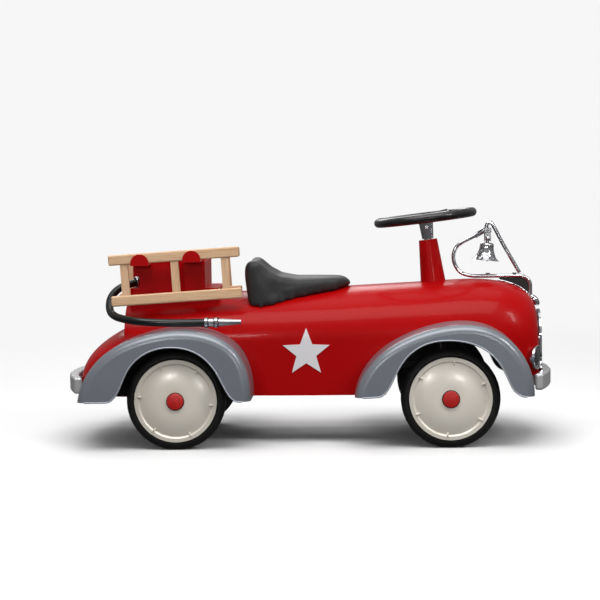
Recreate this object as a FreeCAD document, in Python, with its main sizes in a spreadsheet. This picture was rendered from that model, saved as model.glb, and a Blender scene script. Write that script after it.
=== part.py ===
"""Ride-on toy fire engine, millimetres.

The frame has its origin on the floor under the middle of the bumper-to-bumper box.
+X points forward, +Y to the driver's left, +Z up.  The document is driven by the
spreadsheet Sizes: every sub-part reads its sizes from there.
"""
import FreeCAD, Part
import Sketcher
import math
import os
from FreeCAD import Placement, Rotation, Vector

DOCUMENT = FreeCAD.newDocument("FireEngine")
SHEET = DOCUMENT.addObject("Spreadsheet::Sheet", "Sizes")
SUBPARTS = []


# ---------------------------------------------------------------- driving sizes

class Size:
    """A number together with the spreadsheet formula that gives it."""

    def __init__(self, number, formula):
        self.number = float(number)
        self.formula = formula

    def __add__(self, other):
        return join(self, "+", other, self.number + plain(other))

    def __radd__(self, other):
        return self + other

    def __sub__(self, other):
        return join(self, "-", other, self.number - plain(other))

    def __rsub__(self, other):
        return Size(plain(other) - self.number, "(%s - %s)" % (formula(other), self.formula))

    def __mul__(self, other):
        return join(self, "*", other, self.number * plain(other))

    def __rmul__(self, other):
        return self * other

    def __truediv__(self, other):
        return join(self, "/", other, self.number / plain(other))

    def __neg__(self):
        return self * -1


def plain(value):
    return value.number if isinstance(value, Size) else float(value)


def formula(value):
    return value.formula if isinstance(value, Size) else repr(value)


def join(left, sign, right, number):
    return Size(number, "(%s %s %s)" % (formula(left), sign, formula(right)))


def drive(alias, number, meaning):
    """Put one driving dimension in the spreadsheet and hand it back as a Size."""
    row = drive.row
    drive.row += 1
    SHEET.set("A%d" % row, meaning)
    SHEET.set("B%d" % row, str(number))
    SHEET.setAlias("B%d" % row, alias)
    return Size(number, "Sizes." + alias)


drive.row = 1

wheelbase = drive("wheelbase", 415, "front axle to rear axle")
front_axle_x = drive("front_axle_x", 216.5, "front axle ahead of the origin")
rear_axle_x = front_axle_x - wheelbase
half_track = drive("half_track", 148, "tyre's middle plane from the centre plane")
tyre_radius = drive("tyre_radius", 75, "outside of the tyre, and the axle height")
tyre_width = drive("tyre_width", 30, "widest part of the tyre")
tread_width = drive("tread_width", 14, "flat of the tread")
rim_radius = drive("rim_radius", 62.5, "seat of the tyre on the wheel core")
rim_width = drive("rim_width", 26, "width of the tyre's seat")
core_web = drive("core_web", 4, "thickness of the wheel core's web")
hub_radius = drive("hub_radius", 12, "outside of the wheel core's hub")
axle_radius = drive("axle_radius", 5, "axle rod")
axle_reach = drive("axle_reach", 165, "half length of each axle")
running_gap = drive("running_gap", 0.05, "radial clearance of a bore on its shaft")
cover_sheet = drive("cover_sheet", 1.2, "sheet of the wheel's domed cover")
cap_radius = drive("cap_radius", 12.5, "red hub cap")
steer_rake = drive("steer_rake", 6.5, "steering shaft leans back, degrees")
shaft_radius = drive("shaft_radius", 6, "steering shaft")
wheel_height = drive("wheel_height", 271, "steering wheel along the shaft from the axle")
ring_radius = drive("ring_radius", 74.5, "middle of the steering wheel's ring")
ring_tube = drive("ring_tube", 7, "radius of the steering wheel's ring")
tower_start = drive("tower_start", 158, "tower's foot along the shaft")
tower_end = drive("tower_end", 236, "tower's top along the shaft")
tower_foot_radius = drive("tower_foot_radius", 20.5, "tower's foot")
tower_top_radius = drive("tower_top_radius", 14.5, "tower's top")
tower_wall = drive("tower_wall", 2, "tower's tube wall")
body_floor = drive("body_floor", 75, "lower edge of the body")
body_sheet = drive("body_sheet", 1.2, "sheet of the body")
fender_reach = drive("fender_reach", 187.5, "fender's outer face from the centre plane")
fender_root = drive("fender_root", 76, "fender's inner edge from the centre plane")
fender_sheet = drive("fender_sheet", 1.2, "sheet of the fenders")
fender_round = drive("fender_round", 13, "rounding of the fender's outer edge")
bumper_reach = drive("bumper_reach", 380, "bumper's outer face from the origin")
bumper_low = drive("bumper_low", 82, "bumper's lower edge")
bumper_tall = drive("bumper_tall", 25, "bumper's height")
bumper_thick = drive("bumper_thick", 16, "bumper's thickness")
box_back = drive("box_back", -262.5, "rear face of the equipment box")
box_front = drive("box_front", -160, "front face of the equipment box")
box_half = drive("box_half", 62, "half width of the equipment box")
box_low = drive("box_low", 240, "floor of the equipment box")
box_top = drive("box_top", 282, "upper rim of the equipment box")
box_sheet = drive("box_sheet", 1.5, "sheet of the equipment box")
plinth_front = drive("plinth_front", -139, "front edge of the plinth under the box")
plinth_back = drive("plinth_back", -277, "rear edge of the plinth")
plinth_low = drive("plinth_low", 200, "plinth before it is shaped to the body")
rail_length = drive("rail_length", 202.5, "ladder rail")
rail_tall = drive("rail_tall", 16, "ladder rail's height")
rail_thick = drive("rail_thick", 12, "ladder rail's thickness")
rung_wide = drive("rung_wide", 12, "ladder rung's width")
rung_thick = drive("rung_thick", 8, "ladder rung's thickness")
ladder_y = drive("ladder_y", 87, "ladder's middle plane from the centre plane")
hook_wide = drive("hook_wide", 28, "ladder hook")
hook_sheet = drive("hook_sheet", 2, "ladder hook's sheet")
hose_radius = drive("hose_radius", 6, "hose")
rod_radius = drive("rod_radius", 3, "rod of the bell bracket")
bell_radius = drive("bell_radius", 22, "lip of the bell")
bell_depth = drive("bell_depth", 28, "bell from crown to lip")
bell_sheet = drive("bell_sheet", 1.5, "wall of the bell")
pin_radius = drive("pin_radius", 2, "bell's pivot pin")
lamp_radius = drive("lamp_radius", 19, "headlight")
grille_half = drive("grille_half", 42, "half width of the grille")
grille_low = drive("grille_low", 108.5, "lower edge of the grille")
grille_top = drive("grille_top", 198, "top of the grille")
nose_face = drive("nose_face", 359, "flat front face of the body")
frame_half = drive("frame_half", 45, "half width of the underframe channel")
frame_top = drive("frame_top", 111, "upper face of the underframe channel")
frame_sheet = drive("frame_sheet", 3, "sheet of the underframe")

DOCUMENT.recompute()


# ---------------------------------------------------------------- building tools

def bind(piece, prop, value):
    piece.setExpression(prop, formula(value))


def put(piece, x=0, y=0, z=0, turn=None):
    """Place a piece; x, y and z are numbers or Sizes, turn is a Rotation."""
    piece.Placement = Placement(Vector(plain(x), plain(y), plain(z)), turn or Rotation())
    for letter, where in zip("xyz", (x, y, z)):
        if isinstance(where, Size):
            bind(piece, "Placement.Base." + letter, where)
    return piece


def keep(piece, label):
    """Mark a finished piece as the sub-part that label names."""
    piece.Label = label
    SUBPARTS.append(piece)
    return piece


def rod(name, radius, length):
    piece = DOCUMENT.addObject("Part::Cylinder", name)
    bind(piece, "Radius", radius)
    bind(piece, "Height", length)
    return piece


def cone(name, low_radius, top_radius, length):
    piece = DOCUMENT.addObject("Part::Cone", name)
    bind(piece, "Radius1", low_radius)
    bind(piece, "Radius2", top_radius)
    bind(piece, "Height", length)
    return piece


def block(name, length, width, height):
    piece = DOCUMENT.addObject("Part::Box", name)
    bind(piece, "Length", length)
    bind(piece, "Width", width)
    bind(piece, "Height", height)
    return piece


def block_between(name, low, high):
    """A box from its lowest corner to its highest one."""
    spans = [top - bottom for bottom, top in zip(low, high)]
    return put(block(name, *spans), *low)


def cut(name, base, *tools):
    piece = base
    for number, tool in enumerate(tools):
        step = DOCUMENT.addObject("Part::Cut", "%s_cut_%d" % (name, number))
        step.Base = piece
        step.Tool = tool
        piece = step
    return piece


def fuse(name, *pieces):
    piece = DOCUMENT.addObject("Part::MultiFuse", name)
    piece.Shapes = list(pieces)
    return piece


def group(name, *pieces):
    piece = DOCUMENT.addObject("Part::Compound", name)
    piece.Links = list(pieces)
    return piece


def mirrored(name, source):
    """The same piece on the other side of the centre plane."""
    piece = DOCUMENT.addObject("Part::Mirroring", name)
    piece.Source = source
    piece.Normal = Vector(0, 1, 0)
    return piece


def solid(name, shape):
    piece = DOCUMENT.addObject("Part::Feature", name)
    piece.Shape = shape
    return piece


def origin_plane(body, role):
    return [feature for feature in body.Origin.OriginFeatures if feature.Role == role][0]


def arc_between(start, end, rise):
    """An arc that bulges by rise to the right of its chord."""
    chord = end - start
    right = Vector(chord.y, -chord.x, 0).normalize()
    return Part.Arc(start, (start + end) * 0.5 + right * rise, end)


def spline_between(start, end, rise):
    """The same arc as a spline, which stays a clean surface when it is turned."""
    arc = arc_between(start, end, rise)
    first, last = arc.FirstParameter, arc.LastParameter
    points = [arc.value(first + (last - first) * step / 4) for step in range(5)]
    if points[0].distanceToPoint(start) > points[-1].distanceToPoint(start):
        points.reverse()
    curve = Part.BSplineCurve()
    curve.interpolate(points)
    return curve


def pin_to(sketch, curve, end, x, y):
    """Fix one end of a sketch curve at x, y from the sketch's origin."""
    for kind, axis, value in (("DistanceX", -2, x), ("DistanceY", -1, y)):
        if plain(value) == 0:
            sketch.addConstraint(Sketcher.Constraint("PointOnObject", curve, end, axis))
        else:
            row = sketch.addConstraint(Sketcher.Constraint(kind, curve, end, plain(value)))
            if isinstance(value, Size):
                bind(sketch, "Constraints[%d]" % row, value)


def draw(body, role, outline, bend):
    """A closed sketch.  Each corner is (x, y), or (x, y, rise) where a bend arrives."""
    sketch = body.newObject("Sketcher::SketchObject", body.Name + "_sketch")
    sketch.AttachmentSupport = [(origin_plane(body, role), "")]
    sketch.MapMode = "FlatFace"
    points = [Vector(plain(corner[0]), plain(corner[1]), 0) for corner in outline]
    for number, corner in enumerate(outline):
        following = (number + 1) % len(outline)
        start, end = points[number], points[following]
        rise = outline[following][2] if len(outline[following]) == 3 else None
        if rise is None:
            curve = sketch.addGeometry(Part.LineSegment(start, end))
        else:
            curve = sketch.addGeometry(bend(start, end, plain(rise)))
        first = 1 if sketch.getPoint(curve, 1).distanceToPoint(start) < 1e-6 else 2
        pin_to(sketch, curve, first, corner[0], corner[1])
        pin_to(sketch, curve, 3 - first, outline[following][0], outline[following][1])
    return sketch


def spin(name, outline):
    """A body turned about its own Z axis; the outline is (radius, height) corners."""
    body = DOCUMENT.addObject("PartDesign::Body", name)
    sketch = draw(body, "XZ_Plane", outline, spline_between)
    turned = body.newObject("PartDesign::Revolution", name + "_turned")
    turned.Profile = sketch
    turned.ReferenceAxis = (sketch, ["V_Axis"])
    turned.Angle = 360
    body.Tip = turned
    return body


def pad(name, role, outline, thickness):
    """A body padded both ways from one of its own origin planes."""
    body = DOCUMENT.addObject("PartDesign::Body", name)
    sketch = draw(body, role, outline, arc_between)
    padded = body.newObject("PartDesign::Pad", name + "_pad")
    padded.Profile = sketch
    padded.SideType = "Symmetric"
    bind(padded, "Length", thickness)
    body.Tip = padded
    return body


def round_edges(name, piece, radius, wanted=None):
    """Round the edges of a piece that wanted() picks, or all of them."""
    DOCUMENT.recompute()
    chosen = [number + 1 for number, edge in enumerate(piece.Shape.Edges)
              if wanted is None or wanted(edge)]
    rounded = DOCUMENT.addObject("Part::Fillet", name)
    rounded.Base = piece
    rounded.Edges = [(number, radius, radius) for number in chosen]
    return rounded


def rounded_path(points):
    """Straight runs joined by tangent arcs, as large as the runs allow."""
    edges = []
    radii = []
    start = points[0]
    for before, corner, after in zip(points, points[1:], points[2:]):
        arrive = (corner - before).normalize()
        leave = (after - corner).normalize()
        half_turn = arrive.getAngle(leave) / 2
        reach = 0.45 * min((corner - before).Length, (after - corner).Length)
        radius = reach / math.tan(half_turn)
        radii.append(radius)
        enter = corner - arrive * reach
        out = corner + leave * reach
        inward = (leave - arrive).normalize()
        middle = corner + inward * (radius / math.cos(half_turn) - radius)
        edges.append(Part.LineSegment(start, enter).toShape())
        edges.append(Part.Arc(enter, middle, out).toShape())
        start = out
    edges.append(Part.LineSegment(start, points[-1]).toShape())
    return Part.Wire(edges), radii


def bent_rod(name, corners, radius):
    """A round rod or tube swept along a path of runs and tangent arcs."""
    points = [Vector(*[plain(value) for value in corner]) for corner in corners]
    wire, radii = rounded_path(points)
    path = solid(name + "_path", wire)
    ring = DOCUMENT.addObject("Part::Circle", name + "_ring")
    bind(ring, "Radius", radius)
    ring.Placement = Placement(points[0], Rotation(Vector(0, 0, 1), points[1] - points[0]))
    swept = DOCUMENT.addObject("Part::Sweep", name)
    swept.Sections = [ring]
    swept.Spine = (path, ["Edge%d" % (number + 1) for number in range(len(wire.Edges))])
    swept.Solid = True
    swept.Frenet = False
    section = math.pi * plain(radius) ** 2
    DOCUMENT.recompute()
    print("%s length %.1f least bend %.1f volume ratio %.3f" % (
        name, wire.Length, min(radii), swept.Shape.Volume / (section * wire.Length)))
    return swept


# ---------------------------------------------------------------- body shell

# Each station is (x, half width, crown height, height where the side starts to round).
MAIN_STATIONS = [(-285, 88, 222, 150), (-200, 93, 227, 152), (-105, 100, 231, 155),
                 (0, 105, 235, 158), (70, 105, 238, 160), (145, 103, 241.5, 162),
                 (216, 100, 245, 162), (262, 97, 246.5, 162), (300, 92, 243, 158),
                 (328, 84, 234.5, 152), (346, 74, 223, 146), (356, 63, 207, 140),
                 (359, 52, 191, 135)]
TAIL_STATIONS = [(-358.5, 50, 106, 84), (-353, 66, 123, 90), (-340, 80, 141, 100),
                 (-317, 92, 160, 112), (-292, 100, 174, 122), (-265, 104, 181, 128),
                 (-225, 105, 183, 130), (-180, 100, 183, 130), (-150, 90, 183, 130)]
MAIN_ROUNDNESS = 2.2
TAIL_ROUNDNESS = 2.8
SECTION_STEPS = 12


def body_section(station, roundness, inset):
    """A wire across the body: flat bottom, upright sides, and a rounded top."""
    x, half, crown, shoulder = station
    half -= inset
    crown -= inset
    floor = body_floor.number - inset
    top = []
    for step in range(SECTION_STEPS + 1):
        angle = math.pi * step / SECTION_STEPS
        across = math.cos(angle)
        up = math.sin(angle)
        y = half * math.copysign(abs(across) ** (2 / roundness), across)
        z = shoulder + (crown - shoulder) * abs(up) ** (2 / roundness)
        top.append(Vector(x, y, z))
    roof = Part.BSplineCurve()
    roof.interpolate(top)
    low_left = Vector(x, half, floor)
    low_right = Vector(x, -half, floor)
    return Part.Wire([Part.LineSegment(low_right, low_left).toShape(),
                      Part.LineSegment(low_left, top[0]).toShape(),
                      roof.toShape(),
                      Part.LineSegment(top[-1], low_right).toShape()])


def body_form(stations, roundness, inset):
    """A solid through the stations; its two ends move in by inset."""
    first = (stations[0][0] + inset,) + stations[0][1:]
    last = (stations[-1][0] - inset,) + stations[-1][1:]
    wires = [body_section(station, roundness, inset) for station in [first] + stations[1:-1] + [last]]
    return Part.makeLoft(wires, True, False)


SHEET_IN = body_sheet.number
body_outside = solid("body_outside", body_form(MAIN_STATIONS, MAIN_ROUNDNESS, 0).fuse(
    body_form(TAIL_STATIONS, TAIL_ROUNDNESS, 0)))
body_inside = solid("body_inside", body_form(MAIN_STATIONS, MAIN_ROUNDNESS, SHEET_IN).fuse(
    body_form(TAIL_STATIONS, TAIL_ROUNDNESS, SHEET_IN)))

LEAN = Rotation(Vector(0, 1, 0), -steer_rake.number)
AXIS = LEAN.multVec(Vector(0, 0, 1))
ACROSS = Rotation(Vector(1, 0, 0), 90)


def on_steering(piece, along):
    """Place a turned piece on the steering axis, at a distance up from the axle."""
    foot = Vector(front_axle_x.number, 0, tyre_radius.number)
    piece.Placement = Placement(foot + AXIS * plain(along), LEAN)
    reach = "(%s)" % formula(along)
    piece.setExpression("Placement.Base.x", "Sizes.front_axle_x - %s * sin(Sizes.steer_rake)" % reach)
    piece.setExpression("Placement.Base.z", "Sizes.tyre_radius + %s * cos(Sizes.steer_rake)" % reach)
    return piece


# A cut that goes right through the body reaches this far from the centre plane and the origin.
CUT_HALF = 150
CUT_LONG = 400
CUT_LOW = 60
ARCH_CUT_RADIUS = 97
ARCH_CUT_HEIGHT = 66
arch_cut = put(rod("arch_cut", ARCH_CUT_RADIUS, CUT_HALF * 2), front_axle_x, CUT_HALF, ARCH_CUT_HEIGHT,
               ACROSS)
SLOT_HALF = 9
SLOT_TOP = 86
axle_slot = block_between("axle_slot", (rear_axle_x - SLOT_HALF, -CUT_HALF, CUT_LOW),
                          (rear_axle_x + SLOT_HALF, CUT_HALF, SLOT_TOP))
HOOD_HOLE_ROOM = 6
HOOD_HOLE_SINK = 10
HOOD_HOLE_DEEP = 60
hood_hole = on_steering(rod("hood_hole", shaft_radius + HOOD_HOLE_ROOM, HOOD_HOLE_DEEP),
                        tower_start - HOOD_HOLE_SINK)
belly_cut = block_between("belly_cut", (-CUT_LONG, -CUT_HALF, 0), (CUT_LONG, CUT_HALF, body_floor))
CHIN_BACK = 290
CHIN_SIDE = 56
CHIN_TOP = 100
chin_cuts = [block_between("chin_cut_" + side, (CHIN_BACK, low, CUT_LOW), (CUT_LONG, high, CHIN_TOP))
             for side, low, high in (("left", CHIN_SIDE, CUT_HALF), ("right", -CUT_HALF, -CHIN_SIDE))]
keep(cut("body_shell", body_outside, body_inside, belly_cut, arch_cut, axle_slot, hood_hole, *chin_cuts),
     "body_shell")


def on_body(name, piece):
    """The piece with its underside shaped to sit on the body's sheet."""
    return cut(name, piece, body_outside)


# ---------------------------------------------------------------- fenders

# Outer edge and arch opening of each fender, (x, z), seen from the side.
REAR_FENDER_EDGE = [(-346, 76), (-337, 106), (-305, 147), (-255, 172), (-190, 183),
                    (-140, 175), (-104, 151), (-88, 118), (-84, 74)]
REAR_ARCH_EDGE = [(-308, 76), (-292, 80), (-283, 92), (-268, 124), (-240, 150), (-200, 158.5),
                  (-165, 150), (-139, 127), (-121, 94), (-112, 81), (-98, 74)]
FRONT_FENDER_EDGE = [(72, 79), (80, 104), (103, 137), (148, 167), (217, 186.5),
                     (266, 184), (302, 166), (328, 134), (341, 80)]
FRONT_ARCH_EDGE = [(102, 79), (117, 86), (129, 105), (150, 140), (180, 160), (215, 165),
                   (250, 159), (279, 141), (300, 108), (310, 89), (328, 79.5)]


# How far the blanks of a fender run past its lower edge and its outer face.
FENDER_SPARE = 20
OPENING_SPARE = 10
LONG_EDGE = 100


def curve_through(points):
    curve = Part.BSplineCurve()
    curve.interpolate([Vector(x, 0, z) for x, z in points])
    return curve


def inset_points(points, inset):
    """Points inside an outline, each moved in square to the curve."""
    curve = curve_through(points)
    moved = []
    for x, z in points:
        where = curve.parameter(Vector(x, 0, z))
        along = curve.tangent(where)[0]
        moved.append((x + inset * along.z, z - inset * along.x))
    return moved


def side_face(points, floor):
    """A face in the XZ plane under a curve, closed down to the floor height."""
    curve = curve_through(points).toShape()
    left = Vector(points[0][0], 0, points[0][1])
    right = Vector(points[-1][0], 0, points[-1][1])
    low_left = Vector(left.x, 0, floor)
    low_right = Vector(right.x, 0, floor)
    sides = [Part.LineSegment(right, low_right).toShape(),
             Part.LineSegment(low_right, low_left).toShape(),
             Part.LineSegment(low_left, left).toShape()]
    return Part.Face(Part.Wire([curve] + sides))


def fender_form(points, floor, reach, rounding):
    """A solid fender whose outer edge is rounded, on the right-hand side."""
    root = -fender_root.number
    face = side_face(points, floor)
    face.translate(Vector(0, root, 0))
    form = face.extrude(Vector(0, -reach - root, 0))

    def on_outer_curve(edge):
        box = edge.BoundBox
        flat = math.isclose(box.YMin, -reach, abs_tol=0.01) and math.isclose(box.YMax, -reach, abs_tol=0.01)
        return flat and edge.Length > LONG_EDGE and box.ZLength > FENDER_SPARE * 2

    return form.makeFillet(rounding, [edge for edge in form.Edges if on_outer_curve(edge)])


def fender(name, edge_points, arch_points):
    sheet = fender_sheet.number
    reach = fender_reach.number
    floor = min(edge_points[0][1], edge_points[-1][1]) - FENDER_SPARE
    outside = fender_form(edge_points, floor, reach, fender_round.number)
    inside = fender_form(inset_points(edge_points, sheet), floor, reach - sheet,
                         fender_round.number - sheet)
    opening = side_face(arch_points, floor - OPENING_SPARE)
    opening.translate(Vector(0, -reach - OPENING_SPARE, 0))
    opening = opening.extrude(Vector(0, OPENING_SPARE * 3, 0))
    shell = outside.cut(inside).cut(opening)
    low = max(edge_points[0][1], edge_points[-1][1])
    trim = Part.makeBox(CUT_LONG * 2, CUT_LONG, low, Vector(-CUT_LONG, -CUT_LONG, 0))
    shell = shell.cut(trim).cut(body_outside.Shape)
    biggest = max(shell.Solids, key=lambda part: part.Volume)
    right = keep(solid(name + "_right", biggest), name + "_right")
    keep(mirrored(name + "_left", right), name + "_left")


fender("fender_rear", REAR_FENDER_EDGE, REAR_ARCH_EDGE)
fender("fender_front", FRONT_FENDER_EDGE, FRONT_ARCH_EDGE)


# ---------------------------------------------------------------- bumpers

BUMPER_FLAT = 24
BUMPER_HALF = 120
BUMPER_SWEEP = 21
BUMPER_BACK_SWEEP = 18
BUMPER_BOW = 3
BUMPER_ROUND = 3.5


def bumper(name, turn):
    """A bar across the car: a short flat, then two bowed ends swept back to the fenders."""
    back = bumper_reach - bumper_thick
    outer_end = bumper_reach - BUMPER_SWEEP
    inner_end = back - BUMPER_BACK_SWEEP
    outline = [(bumper_reach, -BUMPER_FLAT, BUMPER_BOW), (bumper_reach, BUMPER_FLAT),
               (outer_end, BUMPER_HALF, BUMPER_BOW), (inner_end, BUMPER_HALF),
               (back, BUMPER_FLAT, -BUMPER_BOW), (back, -BUMPER_FLAT),
               (inner_end, -BUMPER_HALF, -BUMPER_BOW), (outer_end, -BUMPER_HALF)]
    bar = round_edges(name + "_round", pad(name + "_bar", "XY_Plane", outline, bumper_tall), BUMPER_ROUND)
    return on_body(name, put(bar, 0, 0, BUMPER_MIDDLE, turn))


BUMPER_MIDDLE = bumper_low + bumper_tall / 2
HALF_TURN = Rotation(Vector(0, 0, 1), 180)
bumper_bars = {1: keep(bumper("bumper_front", Rotation()), "bumper_front"),
               -1: keep(bumper("bumper_rear", HALF_TURN), "bumper_rear")}

BRACKET_Y = 36
BRACKET_HALF = 8
BRACKET_REACH = 70
BRACKET_EDGE = 7


def bracket(name, end, side):
    """A stub from inside the body's end to the back of the bumper."""
    far = bumper_reach - bumper_thick
    low_x, high_x = (far - BRACKET_REACH, far) if end > 0 else (-far, BRACKET_REACH - far)
    middle = side * BRACKET_Y
    stub = block_between(name, (low_x, middle - BRACKET_HALF, bumper_low + BRACKET_EDGE),
                         (high_x, middle + BRACKET_HALF, bumper_low + bumper_tall - BRACKET_EDGE))
    return cut(name + "_fit", on_body(name, stub), bumper_bars[end])


brackets = [bracket("bracket_%s_%s" % (end, side), end_sign, side_sign)
            for end, end_sign in (("front", 1), ("rear", -1))
            for side, side_sign in (("left", 1), ("right", -1))]
keep(group("bumper_brackets", *brackets), "bumper_brackets")


# ---------------------------------------------------------------- grille and headlights

GRILLE_SHOULDER = 160
GRILLE_BORDER = 7
GRILLE_DEPTH = 3.5
GRILLE_GAP = 2.5
BAR_HALF = 1.4
BAR_PITCH = 9.2
BAR_DEPTH = 2.5
BARS_EACH_SIDE = 3
POST_RADIUS = 3
POST_SINK = 1
POST_PLACES = [(-38, 114), (38, 114), (-38, 155), (38, 155)]
FORWARD = Rotation(Vector(0, 1, 0), 90)


def shield(name, half, low, top, thickness):
    """An upright plate across the car with a round-topped outline."""
    rise = top - GRILLE_SHOULDER
    outline = [(-half, low), (half, low), (half, GRILLE_SHOULDER), (-half, GRILLE_SHOULDER, rise)]
    return pad(name, "YZ_Plane", outline, thickness)


grille_middle = nose_face + GRILLE_GAP + GRILLE_DEPTH / 2
posts = [put(rod("grille_post_%d" % number, POST_RADIUS, GRILLE_GAP + POST_SINK), nose_face, y, z, FORWARD)
         for number, (y, z) in enumerate(POST_PLACES)]
border_outside = put(shield("grille_outside", grille_half, grille_low, grille_top, GRILLE_DEPTH),
                     grille_middle)
border_hole = put(shield("grille_hole", grille_half - GRILLE_BORDER, grille_low + GRILLE_BORDER,
                         grille_top - GRILLE_BORDER, GRILLE_DEPTH * 3), grille_middle)
keep(fuse("grille_frame", cut("grille_border", border_outside, border_hole), *posts), "grille_frame")

bar_field = put(shield("grille_field", grille_half - GRILLE_BORDER, grille_low + GRILLE_BORDER,
                       grille_top - GRILLE_BORDER, BAR_DEPTH), grille_middle)
bars = []
for number in range(2 * BARS_EACH_SIDE + 1):
    middle = (number - BARS_EACH_SIDE) * BAR_PITCH
    slat = block_between("slat_%d" % number, (nose_face, middle - BAR_HALF, 0),
                         (bumper_reach, middle + BAR_HALF, grille_top))
    bar = DOCUMENT.addObject("Part::Common", "grille_bar_%d" % number)
    bar.Base = bar_field
    bar.Tool = slat
    bars.append(bar)
keep(group("grille_bars", *bars), "grille_bars")


LAMP_X = 353
LAMP_Y = 72
LAMP_Z = 127.5
LAMP_TURN = 25
LAMP_DEEP = 16
LAMP_STEP = 1
RIM_WIDE = 3
RIM_DEEP = 2.5
RIM_BULGE = 1.2
LENS_EDGE = 1
LENS_RISE = 3.5
LENS_BULGE = 0.9
lens_radius = lamp_radius - RIM_WIDE
lens_outline = [(0, 0), (lens_radius, 0), (lens_radius, LENS_EDGE), (0, LENS_RISE, LENS_BULGE)]
rim_outline = [(lens_radius, 0), (lamp_radius, 0), (lamp_radius, RIM_DEEP),
               (lens_radius, RIM_DEEP, RIM_BULGE)]
lamp_shells, lamp_rims, lamp_lenses = [], [], []
for side, sign in (("left", 1), ("right", -1)):
    facing = Rotation(Vector(0, 0, 1), sign * LAMP_TURN).multiply(FORWARD)
    front = Vector(LAMP_X, sign * LAMP_Y, LAMP_Z)
    back = front - facing.multVec(Vector(0, 0, 1)) * LAMP_DEEP
    shell = cone("lamp_shell_" + side, lamp_radius / 2, lamp_radius - LAMP_STEP, LAMP_DEEP)
    lamp_shells.append(on_body("lamp_shell_" + side, put(shell, *back, facing)))
    rim = spin("lamp_rim_" + side, rim_outline)
    lamp_rims.append(on_body("lamp_rim_" + side, put(rim, *front, facing)))
    lens = spin("lamp_lens_" + side, lens_outline)
    lamp_lenses.append(on_body("lamp_lens_" + side, put(lens, *front, facing)))
keep(group("headlight_shells", *lamp_shells), "headlight_shells")
keep(group("headlight_rims", *lamp_rims), "headlight_rims")
keep(group("headlight_lenses", *lamp_lenses), "headlight_lenses")

ORNAMENT_RADII = (6, 11, 5)
ORNAMENT_PLACE = (357, 0, 212)
ORNAMENT_TILT = 48
ornament = DOCUMENT.addObject("Part::Ellipsoid", "ornament")
ornament.Radius1, ornament.Radius2, ornament.Radius3 = ORNAMENT_RADII
put(ornament, *ORNAMENT_PLACE, Rotation(Vector(0, 1, 0), ORNAMENT_TILT))


# ---------------------------------------------------------------- seat

# The seat's side view (x, z) and half of its plan (x, half width).
SEAT_SIDE = [(-95, 205), (-95, 272), (-91, 281), (-84, 283.5), (-76, 276), (-62, 264),
             (-44, 254.5), (-20, 250.5), (30, 250.5), (60, 251), (69, 245), (69, 205)]
SEAT_PLAN = [(-97, 66), (-90, 76), (-76, 80), (-40, 74), (0, 63), (40, 49), (60, 33), (68, 16)]
SEAT_NOSE = 71
SEAT_BLANK_HALF = 90


def seat_edge(sign):
    """One long edge of the seat's plan, and its two ends."""
    points = [Vector(x, sign * half, 0) for x, half in SEAT_PLAN]
    curve = Part.BSplineCurve()
    curve.interpolate(points)
    return curve.toShape(), points[0], points[-1]


def seat_form():
    outline = [Vector(x, -SEAT_BLANK_HALF, z) for x, z in SEAT_SIDE + SEAT_SIDE[:1]]
    side = Part.Face(Part.makePolygon(outline)).extrude(Vector(0, 2 * SEAT_BLANK_HALF, 0))
    left, left_back, left_nose = seat_edge(1)
    right, right_back, right_nose = seat_edge(-1)
    back = Part.LineSegment(right_back, left_back).toShape()
    nose = Part.Arc(right_nose, Vector(SEAT_NOSE, 0, 0), left_nose).toShape()
    plan = Part.Face(Part.Wire([back, left, nose, right])).extrude(Vector(0, 0, CUT_LONG))
    return side.common(plan).cut(body_outside.Shape)


keep(solid("seat", max(seat_form().Solids, key=lambda part: part.Volume)), "seat")


# ---------------------------------------------------------------- steering

TOWER_BORE_SINK = 20
tower_length = tower_end - tower_start
tower_cone = cone("tower_skin", tower_foot_radius, tower_top_radius, tower_length)
tower_skin = on_steering(tower_cone, tower_start)
tower_bore = on_steering(rod("tower_bore", tower_top_radius - tower_wall, tower_length * 2),
                         tower_start - TOWER_BORE_SINK)
keep(on_body("steering_tower", cut("tower", tower_skin, tower_bore)), "steering_tower")

BUSH_DEEP = 14
LOWER_BUSH = 29
LOWER_BUSH_RADIUS = 10


def bush(name, outer, along):
    """A plain bush on the steering shaft."""
    bore = shaft_radius + running_gap
    outline = [(bore, 0), (outer, 0), (outer, BUSH_DEEP), (bore, BUSH_DEEP)]
    return on_steering(spin(name, outline), along)


upper_bush = bush("upper_bush", tower_top_radius - tower_wall, tower_end - BUSH_DEEP)
lower_bush = bush("lower_bush", LOWER_BUSH_RADIUS, LOWER_BUSH)
keep(group("steering_bushes", upper_bush, lower_bush), "steering_bushes")

BEAM_HALF = 72
BEAM_THICK = 11
BEAM_TOP = 12
BOSS_START = tower_end + 1.5
SHAFT_ROOM = 60
BOSS_DEEP = 27
BOSS_LOW_RADIUS = 9
BOSS_TOP_RADIUS = 11.5
keep(on_steering(rod("steering_shaft", shaft_radius, wheel_height - BEAM_TOP), BEAM_TOP), "steering_shaft")
boss_skin = on_steering(cone("boss_skin", BOSS_LOW_RADIUS, BOSS_TOP_RADIUS, BOSS_DEEP), BOSS_START)
boss_bore = on_steering(rod("boss_bore", shaft_radius, BOSS_DEEP * 3), BOSS_START - BOSS_DEEP)
keep(cut("steering_boss", boss_skin, boss_bore), "steering_boss")

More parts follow.
